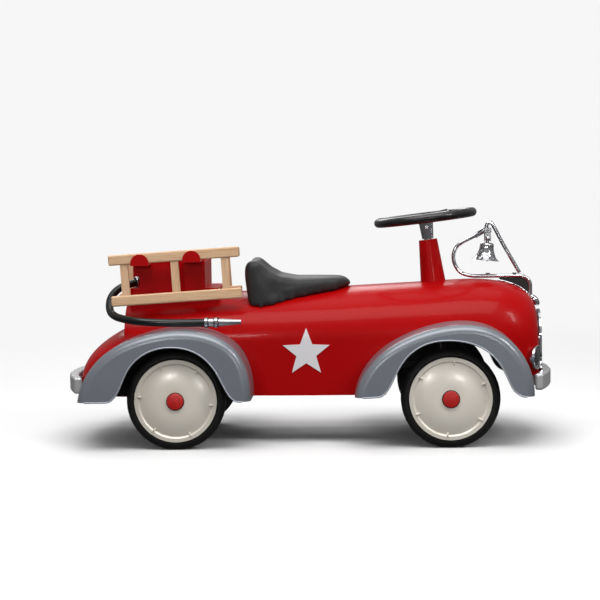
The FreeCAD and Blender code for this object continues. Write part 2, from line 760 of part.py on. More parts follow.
SPOKE_RADIUS = 4.5
HUB_DEEP = 12
HUB_WIDE = 20
HUB_STEP = 1
SPOKE_COUNT = 3
SPOKE_START = 60
SPOKE_LEAN = 88
wheel_ring = DOCUMENT.addObject("Part::Torus", "wheel_ring")
bind(wheel_ring, "Radius1", ring_radius)
bind(wheel_ring, "Radius2", ring_tube)
on_steering(wheel_ring, wheel_height)
hub_start = BOSS_START + BOSS_DEEP
wheel_hub = on_steering(cone("wheel_hub", BOSS_TOP_RADIUS + HUB_STEP, HUB_WIDE, HUB_DEEP), hub_start)
spokes = []
for number in range(SPOKE_COUNT):
    spoke = rod("wheel_spoke_%d" % number, SPOKE_RADIUS, ring_radius)
    on_steering(spoke, hub_start + HUB_DEEP - SPOKE_RADIUS)
    around = Rotation(AXIS, SPOKE_START + 360 * number / SPOKE_COUNT)
    spoke.Placement.Rotation = around.multiply(LEAN).multiply(Rotation(Vector(0, 1, 0), SPOKE_LEAN))
    spokes.append(spoke)
wheel_body = fuse("wheel_body", wheel_ring, wheel_hub, *spokes)
wheel_bore = on_steering(rod("wheel_bore", shaft_radius, wheel_height), BOSS_START)
keep(cut("steering_wheel", wheel_body, wheel_bore), "steering_wheel")

beam_block = block("beam_block", BEAM_THICK * 2, BEAM_HALF * 2, BEAM_THICK * 2)
put(beam_block, front_axle_x - BEAM_THICK, -BEAM_HALF, tyre_radius - BEAM_THICK)
beam_axle_hole = put(rod("beam_axle_hole", axle_radius, axle_reach * 2), front_axle_x, axle_reach,
                     tyre_radius, ACROSS)
beam_shaft_hole = on_steering(rod("beam_shaft_hole", shaft_radius, SHAFT_ROOM), BEAM_TOP)
keep(cut("front_axle_beam", beam_block, beam_axle_hole, beam_shaft_hole), "front_axle_beam")
COLLAR_RADIUS = 9
COLLAR_DEEP = 8
COLLAR_PLACE = 114


def axle(name, x):
    """A rod across the car with a collar inside each wheel."""
    shaft = put(rod(name + "_rod", axle_radius, axle_reach * 2), x, axle_reach, tyre_radius, ACROSS)
    collars = []
    for side, y in (("left", COLLAR_PLACE + COLLAR_DEEP * 2), ("right", -COLLAR_PLACE - COLLAR_DEEP)):
        collar = rod("%s_collar_%s" % (name, side), COLLAR_RADIUS, COLLAR_DEEP)
        collars.append(put(collar, x, y, tyre_radius, ACROSS))
    return fuse(name, shaft, *collars)


keep(axle("front_axle", front_axle_x), "front_axle")
keep(axle("rear_axle", rear_axle_x), "rear_axle")


# ---------------------------------------------------------------- underframe

CHANNEL_BACK = -335
CHANNEL_FRONT = 120
TONGUE_FRONT = 246
CHANNEL_LOW = 84
HANGER_LOW = 63
HANGER_HALF = 20
FLANGE_SIDES = (("left", frame_half - frame_sheet, frame_half),
                ("right", -frame_half, -(frame_half - frame_sheet)))
plate = block_between("channel_top", (CHANNEL_BACK, -frame_half, frame_top - frame_sheet),
                      (TONGUE_FRONT, frame_half, frame_top))
flanges = [block_between("channel_flange_" + side, (CHANNEL_BACK, low, CHANNEL_LOW),
                         (CHANNEL_FRONT, high, frame_top))
           for side, low, high in FLANGE_SIDES]
hangers = [block_between("axle_hanger_" + side, (rear_axle_x - HANGER_HALF, low, HANGER_LOW),
                         (rear_axle_x + HANGER_HALF, high, frame_top))
           for side, low, high in FLANGE_SIDES]
channel = fuse("channel", plate, *flanges, *hangers)
bush_hole = on_steering(rod("bush_hole", LOWER_BUSH_RADIUS, SHAFT_ROOM), 0)
channel_axle_hole = put(rod("channel_axle_hole", axle_radius, axle_reach * 2), rear_axle_x, axle_reach,
                        tyre_radius, ACROSS)
keep(cut("underframe", channel, bush_hole, channel_axle_hole), "underframe")

CROSS_THICK = 4
CROSS_WIDE = 30
CROSS_PLACES = (-290, -60, 80)
members = []
for number, x in enumerate(CROSS_PLACES):
    strap = block_between("cross_strap_%d" % number, (x, -CUT_HALF, frame_top),
                          (x + CROSS_WIDE, CUT_HALF, frame_top + CROSS_THICK))
    member = DOCUMENT.addObject("Part::Common", "cross_member_%d" % number)
    member.Base = strap
    member.Tool = body_inside
    members.append(member)
keep(group("cross_members", *members), "cross_members")


# ---------------------------------------------------------------- wheels

TREAD_BULGE = 1.5
BEAD_HEIGHT = 3
LIP = 0.7
GROOVE = 55
COVER_DOME = 6
COVER_BULGE = 2.2
COVER_RIM = 3
HUB_REACH = 16
CAP_ROOM = 0.5
# The hub cap as (radius, distance from the wheel's middle plane): spigot, skirt and low dome.
SPIGOT_RADIUS = 7
SPIGOT_START = 17.5
CAP_START = 19.5
CAP_SKIRT = 23.5
CAP_CHAMFER = 2
CAP_END = 26.5


def wheel(place, x, side, sign):
    """Tyre, core, domed cover and hub cap of one wheel; local Z points outward."""
    outward = Rotation(Vector(1, 0, 0), -90 * sign)
    name = "%s_%s" % (place, side)
    half = rim_width / 2
    shoulder = tyre_width / 2
    tread = tread_width / 2
    bulge = rim_radius + BEAD_HEIGHT
    tyre = [(rim_radius, -half), (bulge, -shoulder), (tyre_radius, -tread, TREAD_BULGE),
            (tyre_radius, tread), (bulge, shoulder, TREAD_BULGE), (rim_radius, half)]
    bore = axle_radius + running_gap
    web = core_web / 2
    core = [(bore, -HUB_REACH), (hub_radius, -HUB_REACH), (hub_radius, -web), (GROOVE, -web),
            (GROOVE, -half), (rim_radius, -half), (rim_radius, half), (GROOVE, half), (GROOVE, web),
            (hub_radius, web), (hub_radius, half), (bore, half)]
    low = half + LIP
    hole = cap_radius + CAP_ROOM
    crown = low + COVER_DOME
    cover = [(hole, crown), (GROOVE - 1, low, -COVER_BULGE), (rim_radius, low),
             (rim_radius, low + COVER_RIM), (GROOVE + 2, low + COVER_RIM + 0.4),
             (GROOVE - 0.5, low + cover_sheet), (hole, crown + cover_sheet, COVER_BULGE)]
    cap = [(0, SPIGOT_START), (SPIGOT_RADIUS, SPIGOT_START), (SPIGOT_RADIUS, CAP_START),
           (cap_radius, CAP_START), (cap_radius, CAP_SKIRT),
           (cap_radius - CAP_CHAMFER, CAP_SKIRT + CAP_CHAMFER, 0.6), (0, CAP_END, 0.2)]
    for part_name, outline in (("tyre", tyre), ("core", core), ("cover", cover), ("cap", cap)):
        label = "wheel_%s_%s" % (name, part_name)
        keep(put(spin(label, outline), x, sign * half_track, tyre_radius, outward), label)


for place, x in (("front", front_axle_x), ("rear", rear_axle_x)):
    for side, sign in (("left", 1), ("right", -1)):
        wheel(place, x, side, sign)


# ---------------------------------------------------------------- equipment box, hooks and ladders

BOX_SPARE = 20
plinth = block_between("plinth_block", (plinth_back, -box_half, plinth_low),
                       (plinth_front, box_half, box_low))
keep(on_body("box_plinth", plinth), "box_plinth")
box_outside = block_between("box_outside", (box_back, -box_half, box_low), (box_front, box_half, box_top))
box_inside = block_between("box_inside", (box_back + box_sheet, box_sheet - box_half, box_low + box_sheet),
                           (box_front - box_sheet, box_half - box_sheet, box_top + BOX_SPARE))
keep(cut("equipment_box", box_outside, box_inside), "equipment_box")

LADDER_END = Vector(-307, 0, 285.2)
LADDER_TILT = 3.4
RAIL_PITCH = 63.7
RUNG_PLACES = (23.5, 102, 180)
RUNG_TENON = 3
FAR_BACK = 11
FAR_DROP = 6.5
RAIL_ROUND = 2.5
HOOK_GAP = 0.5
LIP_GAP = 0.7
HOOK_PLATE = 18
HOOK_PLACES = (-258, -177.7)
LIP_STRAIGHT = 4


def ladder_end(side):
    """Rear end of a ladder's top rail; the left-hand ladder sits a little further back and lower."""
    return LADDER_END - Vector(FAR_BACK, 0, FAR_DROP) if side == "left" else LADDER_END


def rail_height(side, x):
    """Middle height of a ladder's top rail at a place along the car."""
    end = ladder_end(side)
    return end.z + (x - end.x) * math.tan(math.radians(LADDER_TILT))


def ladder(side, sign):
    tilt = Rotation(Vector(0, 1, 0), -LADDER_TILT)

    def lay(piece, along, up):
        """Put a piece's lowest rear corner along the top rail, and up square to it."""
        across = sign * ladder_y.number - plain(piece.Width) / 2
        corner = ladder_end(side) + tilt.multVec(Vector(along, 0, up)) + Vector(0, across, 0)
        piece.Placement = Placement(corner, tilt)
        return piece

    rungs = []
    for number, place in enumerate(RUNG_PLACES):
        rung = block("rung_%s_%d" % (side, number), rung_wide, rung_thick, RAIL_PITCH + 2 * RUNG_TENON)
        DOCUMENT.recompute()
        rungs.append(lay(rung, place - rung_wide.number / 2, -RAIL_PITCH - RUNG_TENON))
    rung_set = group("ladder_%s_rungs" % side, *rungs)
    rails = []
    for name, drop in (("top", 0), ("low", RAIL_PITCH)):
        bar = block("rail_%s_%s" % (side, name), rail_length, rail_thick, rail_tall)
        DOCUMENT.recompute()
        lay(bar, 0, -drop - rail_tall.number / 2)
        soft = round_edges("rail_round_%s_%s" % (side, name), bar, RAIL_ROUND)
        rails.append(cut("rail_cut_%s_%s" % (side, name), soft, rung_set))
    keep(group("ladder_%s_rails" % side, *rails), "ladder_%s_rails" % side)
    keep(rung_set, "ladder_%s_rungs" % side)


ladder("right", -1)
ladder("left", 1)


def hook(side, sign, number):
    """Back plate on the box, shelf under the rail and a half-round lip outside it."""
    x = HOOK_PLACES[number]
    back, front = x - hook_wide / 2, x + hook_wide / 2
    name = "%s_%d" % (side, number)
    rail_half = rail_tall / 2 / math.cos(math.radians(LADDER_TILT))
    shelf_top = rail_height(side, plain(back)) - rail_half - HOOK_GAP
    shelf_low = shelf_top - hook_sheet
    lip_inner = ladder_y + rail_thick / 2 + LIP_GAP
    lip_outer = lip_inner + hook_sheet

    def slab(label, near, far, low, top):
        """A block of the hook between two distances from the centre plane."""
        ys = (near, far) if sign > 0 else (-far, -near)
        return block_between("%s_%s" % (label, name), (back, ys[0], low), (front, ys[1], top))

    shelf = slab("hook_shelf", box_half, lip_outer, shelf_low, shelf_top)
    back_plate = slab("hook_plate", box_half, box_half + hook_sheet, shelf_low - HOOK_PLATE, shelf_low)
    lip_foot = slab("hook_lip_foot", lip_inner, lip_outer, shelf_low, shelf_low + LIP_STRAIGHT)
    lip = rod("hook_lip_" + name, hook_wide / 2, hook_sheet)
    lip.Angle = 180
    put(lip, x, lip_outer if sign > 0 else -lip_inner, shelf_low + LIP_STRAIGHT, ACROSS)
    return fuse("hook_" + name, shelf, back_plate, lip, lip_foot)


hooks = [hook(side, sign, number) for side, sign in (("left", 1), ("right", -1)) for number in (0, 1)]
keep(group("ladder_hooks", *hooks), "ladder_hooks")


# ---------------------------------------------------------------- hose and its fittings

HOSE_ROUTE = [(-273, -27, 247.5), (-289, -36, 244.5), (-301.5, -47, 236.5), (-308.5, -59, 226.5),
              (-309.5, -71, 215), (-306, -84.5, 204.5), (-296, -100, 199), (-280.5, -115, 196),
              (-261, -126.5, 193.8), (-237, -132, 192.3), (-209, -132.5, 191.2), (-181, -133, 190.8),
              (-155, -132, 191)]
hose_start = Vector(*HOSE_ROUTE[0])
hose_exit = (Vector(*HOSE_ROUTE[1]) - hose_start).normalize()
hose_end = Vector(*HOSE_ROUTE[-1])
hose_finish = (hose_end - Vector(*HOSE_ROUTE[-2])).normalize()
# The fitting runs back into the box; a ring stands proud of it near its mouth.
FITTING_RADIUS = 8
FITTING_DEEP = 26
FITTING_RING = 9
RING_FAR = 9
RING_NEAR = 6.5
fitting = spin("fitting", [(0, -FITTING_DEEP), (FITTING_RADIUS, -FITTING_DEEP), (FITTING_RADIUS, -RING_FAR),
                           (FITTING_RING, -RING_FAR), (FITTING_RING, -RING_NEAR),
                           (FITTING_RADIUS, -RING_NEAR), (FITTING_RADIUS, 0), (0, 0)])
fitting.Placement = Placement(hose_start, Rotation(Vector(0, 0, 1), hose_exit))
keep(cut("hose_fitting", fitting, box_outside, plinth), "hose_fitting")
keep(bent_rod("hose", HOSE_ROUTE, hose_radius), "hose")

FERRULE_LENGTH = 21
FERRULE_RADIUS = 6.6
FLANGE_RADIUS = 8
FLANGE_LONG = 4
TIP_LENGTH = 34
TIP_RADIUS = 6
TIP_END_RADIUS = 3.4
TIP_BORE = 2
TIP_BORE_START = 12
far_flange = FERRULE_LENGTH - 2 - FLANGE_LONG
ferrule = spin("nozzle_ferrule", [(0, 0), (FLANGE_RADIUS, 0), (FLANGE_RADIUS, FLANGE_LONG),
                                  (FERRULE_RADIUS, FLANGE_LONG), (FERRULE_RADIUS, far_flange),
                                  (FLANGE_RADIUS, far_flange), (FLANGE_RADIUS, far_flange + FLANGE_LONG),
                                  (TIP_RADIUS, FERRULE_LENGTH), (0, FERRULE_LENGTH)])
ferrule.Placement = Placement(hose_end, Rotation(Vector(0, 0, 1), hose_finish))
keep(ferrule, "nozzle_ferrule")
tip = spin("nozzle_tip", [(0, 0), (TIP_RADIUS, 0), (TIP_END_RADIUS, TIP_LENGTH), (TIP_BORE, TIP_LENGTH),
                          (TIP_BORE, TIP_BORE_START), (0, TIP_BORE_START)])
tip.Placement = Placement(hose_end + hose_finish * FERRULE_LENGTH, Rotation(Vector(0, 0, 1), hose_finish))
keep(tip, "nozzle_tip")


# ---------------------------------------------------------------- bell and its bracket

BRACKET_ROUTE = [(351, 0, 205), (351, 0, 242), (339, 0, 251), (300, 0, 250.5), (257, 0, 250.5),
                 (240, 0, 256), (231, 0, 270), (229, 0, 285), (235, 0, 299), (248, 0, 307), (264, 0, 314.5)]
POST_ROUTE = [(334, 0, 255.5), (307, 0, 303), (295, 0, 327), (289, 0, 336), (283, 0, 333), (282, 0, 327)]
bracket_rod = bent_rod("bracket_rod", BRACKET_ROUTE, rod_radius)
keep(on_body("bell_bracket", bracket_rod), "bell_bracket")
keep(on_body("hood_ornament", cut("ornament_notch", ornament, bracket_rod)), "hood_ornament")
keep(cut("bell_post", bent_rod("bell_post_tube", POST_ROUTE, rod_radius), bracket_rod), "bell_post")
SLEEVE_RADIUS = 4.2
PIVOT = Vector(284, 0, 310)
YOKE_HALF = 8
EAR_THICK = 2.5
EAR_HALF = 5
EAR_LOW = 4
BRIDGE_HALF = 6
BRIDGE_LOW = 10
BRIDGE_TOP = 17
PIN_LONG = 19
BORE_LONG = 40


def across_rod(name, radius, length, middle):
    """A rod across the car, centred on a point."""
    piece = rod(name, radius, length)
    piece.Placement = Placement(middle + Vector(0, length / 2, 0), ACROSS)
    return piece


sleeve_start = Vector(*BRACKET_ROUTE[-1])
sleeve_end = PIVOT + Vector(-EAR_HALF, 0, BRIDGE_LOW + 3)
sleeve = rod("yoke_sleeve", SLEEVE_RADIUS, (sleeve_end - sleeve_start).Length)
sleeve.Placement = Placement(sleeve_start, Rotation(Vector(0, 0, 1), sleeve_end - sleeve_start))
bridge = block_between("yoke_bridge", PIVOT + Vector(-BRIDGE_HALF, -YOKE_HALF, BRIDGE_LOW),
                       PIVOT + Vector(BRIDGE_HALF, YOKE_HALF, BRIDGE_TOP))
ears = [block_between("yoke_ear_" + side, PIVOT + Vector(-EAR_HALF, low, -EAR_LOW),
                      PIVOT + Vector(EAR_HALF, low + EAR_THICK, BRIDGE_LOW + 1))
        for side, low in (("left", YOKE_HALF - EAR_THICK), ("right", -YOKE_HALF))]
pin_hole = across_rod("pin_hole", pin_radius, BORE_LONG, PIVOT)
yoke = fuse("yoke", sleeve, bridge, *ears)
keep(cut("bell_yoke", yoke, DOCUMENT.bell_post_tube, bracket_rod, pin_hole), "bell_yoke")
keep(across_rod("bell_pin", pin_radius, PIN_LONG, PIVOT), "bell_pin")

BELL_TILT = 6
BELL_CROWN = 6.5
CROWN_THICK = 1.8
WAIST_DROP = 19
LUG_RADIUS = 4.6
LUG_LONG = 9
NECK_RADIUS = 3
NECK_LONG = 5
NECK_DROP = 8
bell_lean = Rotation(Vector(0, 1, 0), BELL_TILT)
waist = -BELL_CROWN - WAIST_DROP
lip = -BELL_CROWN - bell_depth
inner_crown = -BELL_CROWN - CROWN_THICK
bell_outline = [(0, -BELL_CROWN), (7, -BELL_CROWN), (11, -BELL_CROWN - 4, -1.0), (14.5, waist, 1.0),
                (bell_radius, lip, 1.2), (bell_radius - bell_sheet, lip), (13, waist, -1.2),
                (9.5, -BELL_CROWN - 5, -1.0), (6.5, inner_crown, 0.8), (0, inner_crown)]
bell_cup = put(spin("bell_cup", bell_outline), *PIVOT, bell_lean)
lug = across_rod("bell_lug", LUG_RADIUS, LUG_LONG, PIVOT)
neck = rod("bell_neck", NECK_RADIUS, NECK_LONG)
neck.Placement = Placement(PIVOT + bell_lean.multVec(Vector(0, 0, -NECK_DROP)), bell_lean)
lug_bore = across_rod("bell_lug_bore", pin_radius + running_gap, BORE_LONG, PIVOT)
CLAPPER_DROP = 12.5
HANGER_PIN = 1
HANGER_REACH = 4
HANGER_POST = 2
HANGER_POST_TALL = 7
EYE_RADIUS = 2.4
EYE_LONG = 3
STEM_RADIUS = 1
STEM_LONG = 16
STEM_DROP = 17.5
BALL_RADIUS = 4
BALL_DROP = 20
clapper_pivot = PIVOT + bell_lean.multVec(Vector(0, 0, -CLAPPER_DROP))
hanger = across_rod("clapper_hanger", HANGER_PIN, HANGER_REACH * 2, clapper_pivot)
hanger_posts = []
for side, low in (("left", HANGER_REACH - HANGER_POST), ("right", -HANGER_REACH)):
    post = block("hanger_post_" + side, HANGER_POST, HANGER_POST, HANGER_POST_TALL)
    corner = Vector(-HANGER_POST / 2, low, -CLAPPER_DROP - 1.5)
    post.Placement = Placement(PIVOT + bell_lean.multVec(corner), bell_lean)
    hanger_posts.append(post)
keep(cut("bell", fuse("bell_whole", bell_cup, lug, neck, hanger, *hanger_posts), lug_bore), "bell")
eye = across_rod("clapper_eye", EYE_RADIUS, EYE_LONG, clapper_pivot)
stem = put(rod("clapper_stem", STEM_RADIUS, STEM_LONG), *(clapper_pivot - Vector(0, 0, STEM_DROP)))
ball = DOCUMENT.addObject("Part::Sphere", "clapper_ball")
ball.Radius = BALL_RADIUS
put(ball, *(clapper_pivot - Vector(0, 0, BALL_DROP)))
eye_bore = across_rod("clapper_eye_bore", HANGER_PIN + running_gap, BORE_LONG, clapper_pivot)
keep(cut("bell_clapper", fuse("clapper", eye, stem, ball), eye_bore), "bell_clapper")

GUSSET_THICK = 2.5
GUSSET_OUTLINE = [(302, 246.5), (316, 220), (350, 205), (350, 241), (339, 249), (302, 248.5)]
gusset = pad("gusset", "XZ_Plane", GUSSET_OUTLINE, GUSSET_THICK)
keep(on_body("bell_gusset", cut("gusset_cut", gusset, bracket_rod)), "bell_gusset")

SCREW_RADIUS = 3.5
SCREW_HEAD = 2.2
SCREW_Z = 253.2
SCREW_PLACES = (284, 326)
screws = []
for number, x in enumerate(SCREW_PLACES):
    head = put(rod("screw_head_%d" % number, SCREW_RADIUS, SCREW_HEAD), x, 0, SCREW_Z)
    screws.append(cut("screw_%d" % number, head, bracket_rod))
keep(group("bracket_screws", *screws), "bracket_screws")


# ---------------------------------------------------------------- export

def finish():
    DOCUMENT.recompute()
    for piece in DOCUMENT.Objects:
        if "Invalid" in piece.State or "Error" in piece.State:
            raise RuntimeError("%s is %s" % (piece.Label, piece.State))
    for piece in SUBPARTS:
        if piece.Shape.isNull() or not piece.Shape.isValid() or not piece.Shape.Solids:
            raise RuntimeError("%s has no valid shape" % piece.Label)
    os.makedirs("parts", exist_ok=True)
    for piece in SUBPARTS:
        piece.Shape.exportStep("parts/%s.step" % piece.Label)
    print("sub-parts written: %d" % len(SUBPARTS))


finish()
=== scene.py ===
"""Looks of the ride-on toy fire engine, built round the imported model.

Metres, in the model's own frame: +X forward, +Y to the driver's left, +Z up.
Lengths given in millimetres go through mm().
"""
import math

import bmesh
import bpy
from mathutils import Matrix, Vector
from mathutils.bvhtree import BVHTree

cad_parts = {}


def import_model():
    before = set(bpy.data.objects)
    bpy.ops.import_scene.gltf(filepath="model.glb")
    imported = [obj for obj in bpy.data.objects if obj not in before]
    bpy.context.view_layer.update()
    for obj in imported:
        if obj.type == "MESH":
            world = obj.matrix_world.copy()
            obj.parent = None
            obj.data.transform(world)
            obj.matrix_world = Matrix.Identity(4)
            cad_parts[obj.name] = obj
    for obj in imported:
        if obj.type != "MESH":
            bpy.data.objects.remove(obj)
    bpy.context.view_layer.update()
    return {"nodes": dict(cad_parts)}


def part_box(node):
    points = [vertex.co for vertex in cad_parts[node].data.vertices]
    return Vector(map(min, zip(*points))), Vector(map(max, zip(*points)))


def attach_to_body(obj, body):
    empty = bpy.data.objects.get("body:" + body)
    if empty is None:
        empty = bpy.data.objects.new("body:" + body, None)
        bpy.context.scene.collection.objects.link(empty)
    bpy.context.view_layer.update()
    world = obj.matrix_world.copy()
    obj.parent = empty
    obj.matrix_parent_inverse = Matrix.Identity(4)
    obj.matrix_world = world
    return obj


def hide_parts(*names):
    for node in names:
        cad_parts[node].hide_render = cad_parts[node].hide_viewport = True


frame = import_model()
NODES = frame["nodes"]
MM = 0.001
SIDES = (("left", 1), ("right", -1))
ENDS = ("front", "rear")
CORNERS = [(end, side) for end in ENDS for side, _ in SIDES]


def mm(*numbers):
    """A place or a direction given in millimetres."""
    return Vector([number * MM for number in numbers])


# ---------------------------------------------------------------- materials

def srgb(red, green, blue):
    """A colour given as 0 to 255 screen values, as the linear values that a shader takes."""
    linear = []
    for level in (red / 255, green / 255, blue / 255):
        linear.append(level / 12.92 if level <= 0.04045 else ((level + 0.055) / 1.055) ** 2.4)
    return (*linear, 1.0)


class Finish:
    """One material: a Principled shader whose texture nodes are added by short calls."""

    def __init__(self, name, colour, roughness, **sockets):
        self.material = bpy.data.materials.new(name)
        self.material.use_nodes = True
        self.tree = self.material.node_tree
        self.shader = self.tree.nodes["Principled BSDF"]
        self.shader.inputs["Base Color"].default_value = colour
        self.shader.inputs["Roughness"].default_value = roughness
        for socket, value in sockets.items():
            self.shader.inputs[socket.replace("_", " ")].default_value = value
        self.place = self.add("ShaderNodeTexCoord").outputs["Object"]

    def add(self, kind, inputs=None, **settings):
        node = self.tree.nodes.new(kind)
        for setting, value in settings.items():
            setattr(node, setting, value)
        for socket, value in (inputs or {}).items():
            if isinstance(value, bpy.types.NodeSocket):
                self.tree.links.new(value, node.inputs[socket])
            else:
                node.inputs[socket].default_value = value
        return node

    def feed(self, socket, value):
        self.tree.links.new(value, self.shader.inputs[socket])

    def noise(self, scale, detail, stretch=(1, 1, 1), twist=0.0):
        place = self.add("ShaderNodeMapping", {"Vector": self.place, "Scale": stretch}).outputs["Vector"]
        node = self.add("ShaderNodeTexNoise", {"Vector": place, "Scale": scale, "Detail": detail,
                                               "Distortion": twist})
        return node.outputs["Fac"]

    def cells(self, scale, feature="DISTANCE_TO_EDGE"):
        node = self.add("ShaderNodeTexVoronoi", {"Vector": self.place, "Scale": scale}, feature=feature)
        return node.outputs["Distance"]

    def remap(self, value, low, high, new_low, new_high):
        node = self.add("ShaderNodeMapRange", {"Value": value, "From Min": low, "From Max": high,
                                               "To Min": new_low, "To Max": new_high})
        return node.outputs["Result"]

    def maths(self, operation, first, second):
        node = self.add("ShaderNodeMath", {0: first, 1: second}, operation=operation)
        return node.outputs[0]

    def mix(self, factor, first, second):
        node = self.add("ShaderNodeMix", {0: factor, 6: first, 7: second}, data_type="RGBA")
        return node.outputs[2]

    def bump(self, height, distance, strength, under=None):
        inputs = {"Height": height, "Distance": distance, "Strength": strength}
        if under is not None:
            inputs["Normal"] = under
        return self.add("ShaderNodeBump", inputs).outputs["Normal"]

    def inner_face(self, centre):
        """1 where the surface looks towards the point that centre gives, which may leave out a direction."""
        geometry = self.add("ShaderNodeNewGeometry")
        place = self.add("ShaderNodeSeparateXYZ", {0: geometry.outputs["Position"]}).outputs
        facing = self.add("ShaderNodeSeparateXYZ", {0: geometry.outputs["True Normal"]}).outputs
        total = None
        for axis, target in enumerate(centre(self, place)):
            if target is None:
                continue
            towards = self.maths("SUBTRACT", target, place[axis])
            part = self.maths("MULTIPLY", towards, facing[axis])
            total = part if total is None else self.maths("ADD", total, part)
        return self.maths("GREATER_THAN", total, 0.0)


# Near-black, and rougher, for faces that look inward.
INWARD_DARK = srgb(13, 12, 13)
INWARD_DARK_ROUGHNESS = 0.75
FLAKE = srgb(225, 230, 236)


def paint(name, colour, shade, roughness, flake=0.0, inside=None, **sockets):
    """Baked enamel: a little orange peel, faint clouding, and near-black where inside says the face looks
    inward.
    """
    made = Finish(name, colour, roughness, **sockets)
    cloud = made.remap(made.noise(5.0, 2.0), 0.35, 0.65, 0.0, 1.0)
    tint = made.mix(cloud, shade, colour)
    rough = made.remap(made.noise(24.0, 4.0), 0.35, 0.75, roughness * 0.94, roughness * 1.08)
    if flake:
        grains = made.cells(2600.0, "F1")
        tint = made.mix(made.remap(grains, 0.0, 0.5, flake, 0.0), tint, FLAKE)
    # Faces that look inward turn near-black.
    if inside is not None:
        mask = made.inner_face(inside)
        tint = made.mix(mask, tint, INWARD_DARK)
        rough = made.maths("MAXIMUM", rough, made.maths("MULTIPLY", mask, INWARD_DARK_ROUGHNESS))
    made.feed("Base Color", tint)
    made.feed("Roughness", rough)
    made.feed("Normal", made.bump(made.noise(420.0, 2.0), 0.00002, 0.5))
    return made.material


BODY_MIDDLE = 115 * MM
REAR_ARCH, FRONT_ARCH = -200 * MM, 215 * MM
ARCH_OUT = 135 * MM
ARCH_HEIGHT = 80 * MM


def body_middle(made, place):
    """The line down the middle of the body."""
    return (None, 0.0, BODY_MIDDLE)


def arch_middle(made, place):
    """The middle of the wheel arch that a fender makes, whichever fender it is."""
    ahead = made.maths("GREATER_THAN", place[0], 0.0)
    along = made.remap(ahead, 0.0, 1.0, REAR_ARCH, FRONT_ARCH)
    left = made.maths("GREATER_THAN", place[1], 0.0)
    across = made.remap(left, 0.0, 1.0, -ARCH_OUT, ARCH_OUT)
    return (along, across, ARCH_HEIGHT)


def metal(name, colour, roughness, brushed=0.0):
    """Plated or bare metal: faint smears, and fine turning lines where it is brushed."""
    made = Finish(name, colour, roughness, Metallic=1.0)
    smear = made.noise(45.0, 6.0)
    made.feed("Roughness", made.remap(smear, 0.3, 0.75, roughness * 0.85, roughness * 1.3))
    if brushed:
        lines = made.noise(90.0, 3.0, (1, 0.02, 1))
        made.feed("Normal", made.bump(lines, 0.0001, brushed))
    else:
        made.feed("Normal", made.bump(made.noise(160.0, 2.0), 0.00002, 0.3))
    return made.material


def moulded(name, colour, light, roughness, grain=0.00006, scale=900.0, **sockets):
    """Moulded plastic or rubber: fine surface texture and scuffs that catch the light."""
    made = Finish(name, colour, roughness, **sockets)
    scuff = made.remap(made.noise(38.0, 8.0, twist=0.6), 0.52, 0.8, 0.0, 1.0)
    made.feed("Base Color", made.mix(scuff, colour, light))
    made.feed("Roughness", made.remap(made.noise(120.0, 4.0), 0.3, 0.7, roughness * 0.85, roughness * 1.2))
    made.feed("Normal", made.bump(made.noise(scale, 2.0), grain, 0.7))
    return made.material


def wood(name, stretch):
    """Pale beech: long fibres, fine pores and slow changes of tone from plank to plank."""
    base, deep = srgb(226, 189, 152), srgb(196, 150, 108)
    made = Finish(name, base, 0.5, Specular_IOR_Level=0.4)
    wide = [part * 0.35 for part in stretch]
    bands = made.remap(made.noise(110.0, 4.0, wide, 0.8), 0.38, 0.68, 0.0, 1.0)
    fibres = made.noise(700.0, 5.0, stretch)
    lines = made.remap(fibres, 0.5, 0.72, 0.0, 0.85)
    tone = made.mix(bands, base, srgb(212, 170, 130))
    tone = made.mix(lines, tone, deep)
    pores = made.remap(made.noise(1500.0, 2.0, stretch), 0.66, 0.74, 0.0, 0.6)
    made.feed("Base Color", made.mix(pores, tone, srgb(160, 112, 76)))
    made.feed("Roughness", made.remap(fibres, 0.3, 0.7, 0.42, 0.62))
    made.feed("Normal", made.bump(fibres, 0.00012, 0.5))
    return made.material


def vinyl(name):
    """Dark leather-look vinyl: irregular pebbles, finer creases, worn, shinier high spots, and painted shade
    in the grooves between pebbles.
    """
    base = srgb(40, 40, 41)
    made = Finish(name, base, 0.48, Specular_IOR_Level=0.45)
    pebbles = made.cells(620.0)
    creases = made.noise(260.0, 5.0, twist=1.2)
    worn = made.remap(made.noise(14.0, 3.0), 0.35, 0.75, 0.0, 1.0)
    tone = made.mix(worn, srgb(35, 35, 36), srgb(50, 50, 51))
    # The grooves between pebbles are darkened: painted shade.
    valley_shade = made.remap(pebbles, 0.0, 0.12, 0.7, 0.0)
    made.feed("Base Color", made.mix(valley_shade, tone, srgb(20, 20, 20)))
    made.feed("Roughness", made.remap(worn, 0.0, 1.0, 0.52, 0.4))
    fine = made.bump(creases, 0.0002, 0.35)
    made.feed("Normal", made.bump(made.remap(pebbles, 0.0, 0.2, 0.0, 1.0), 0.00025, 0.55, fine))
    return made.material


def lens(name):
    """A lamp's glass: its dark colour is painted shade inside the lamp, and the light bands of its pressed
    rib pattern are painted highlights.
    """
    made = Finish(name, srgb(54, 58, 62), 0.06, Metallic=0.85, Coat_Weight=1.0, Coat_Roughness=0.03)
    ribs_and_glints = made.add("ShaderNodeTexWave", {"Vector": made.place, "Scale": 75.0, "Distortion": 0.0},
                    bands_direction="Z").outputs["Fac"]
    made.feed("Normal", made.bump(ribs_and_glints, 0.0005, 0.7))
    # Light bands along the rib pattern are painted highlights, and the dark between them is painted shade
    # inside the lamp.
    made.feed("Base Color", made.mix(ribs_and_glints, srgb(34, 38, 42), srgb(92, 96, 100)))
    return made.material


RED = srgb(175, 5, 8)
RED_SHADE = srgb(171, 5, 8)
GREY = srgb(124, 128, 136)
GREY_SHADE = srgb(120, 124, 132)
SILVER = srgb(202, 201, 202)
CREAM = srgb(242, 235, 222)
BLACK = srgb(14, 13, 14)
COAT = {"Specular_IOR_Level": 0.08, "Coat_Weight": 0.08, "Coat_Roughness": 0.05}

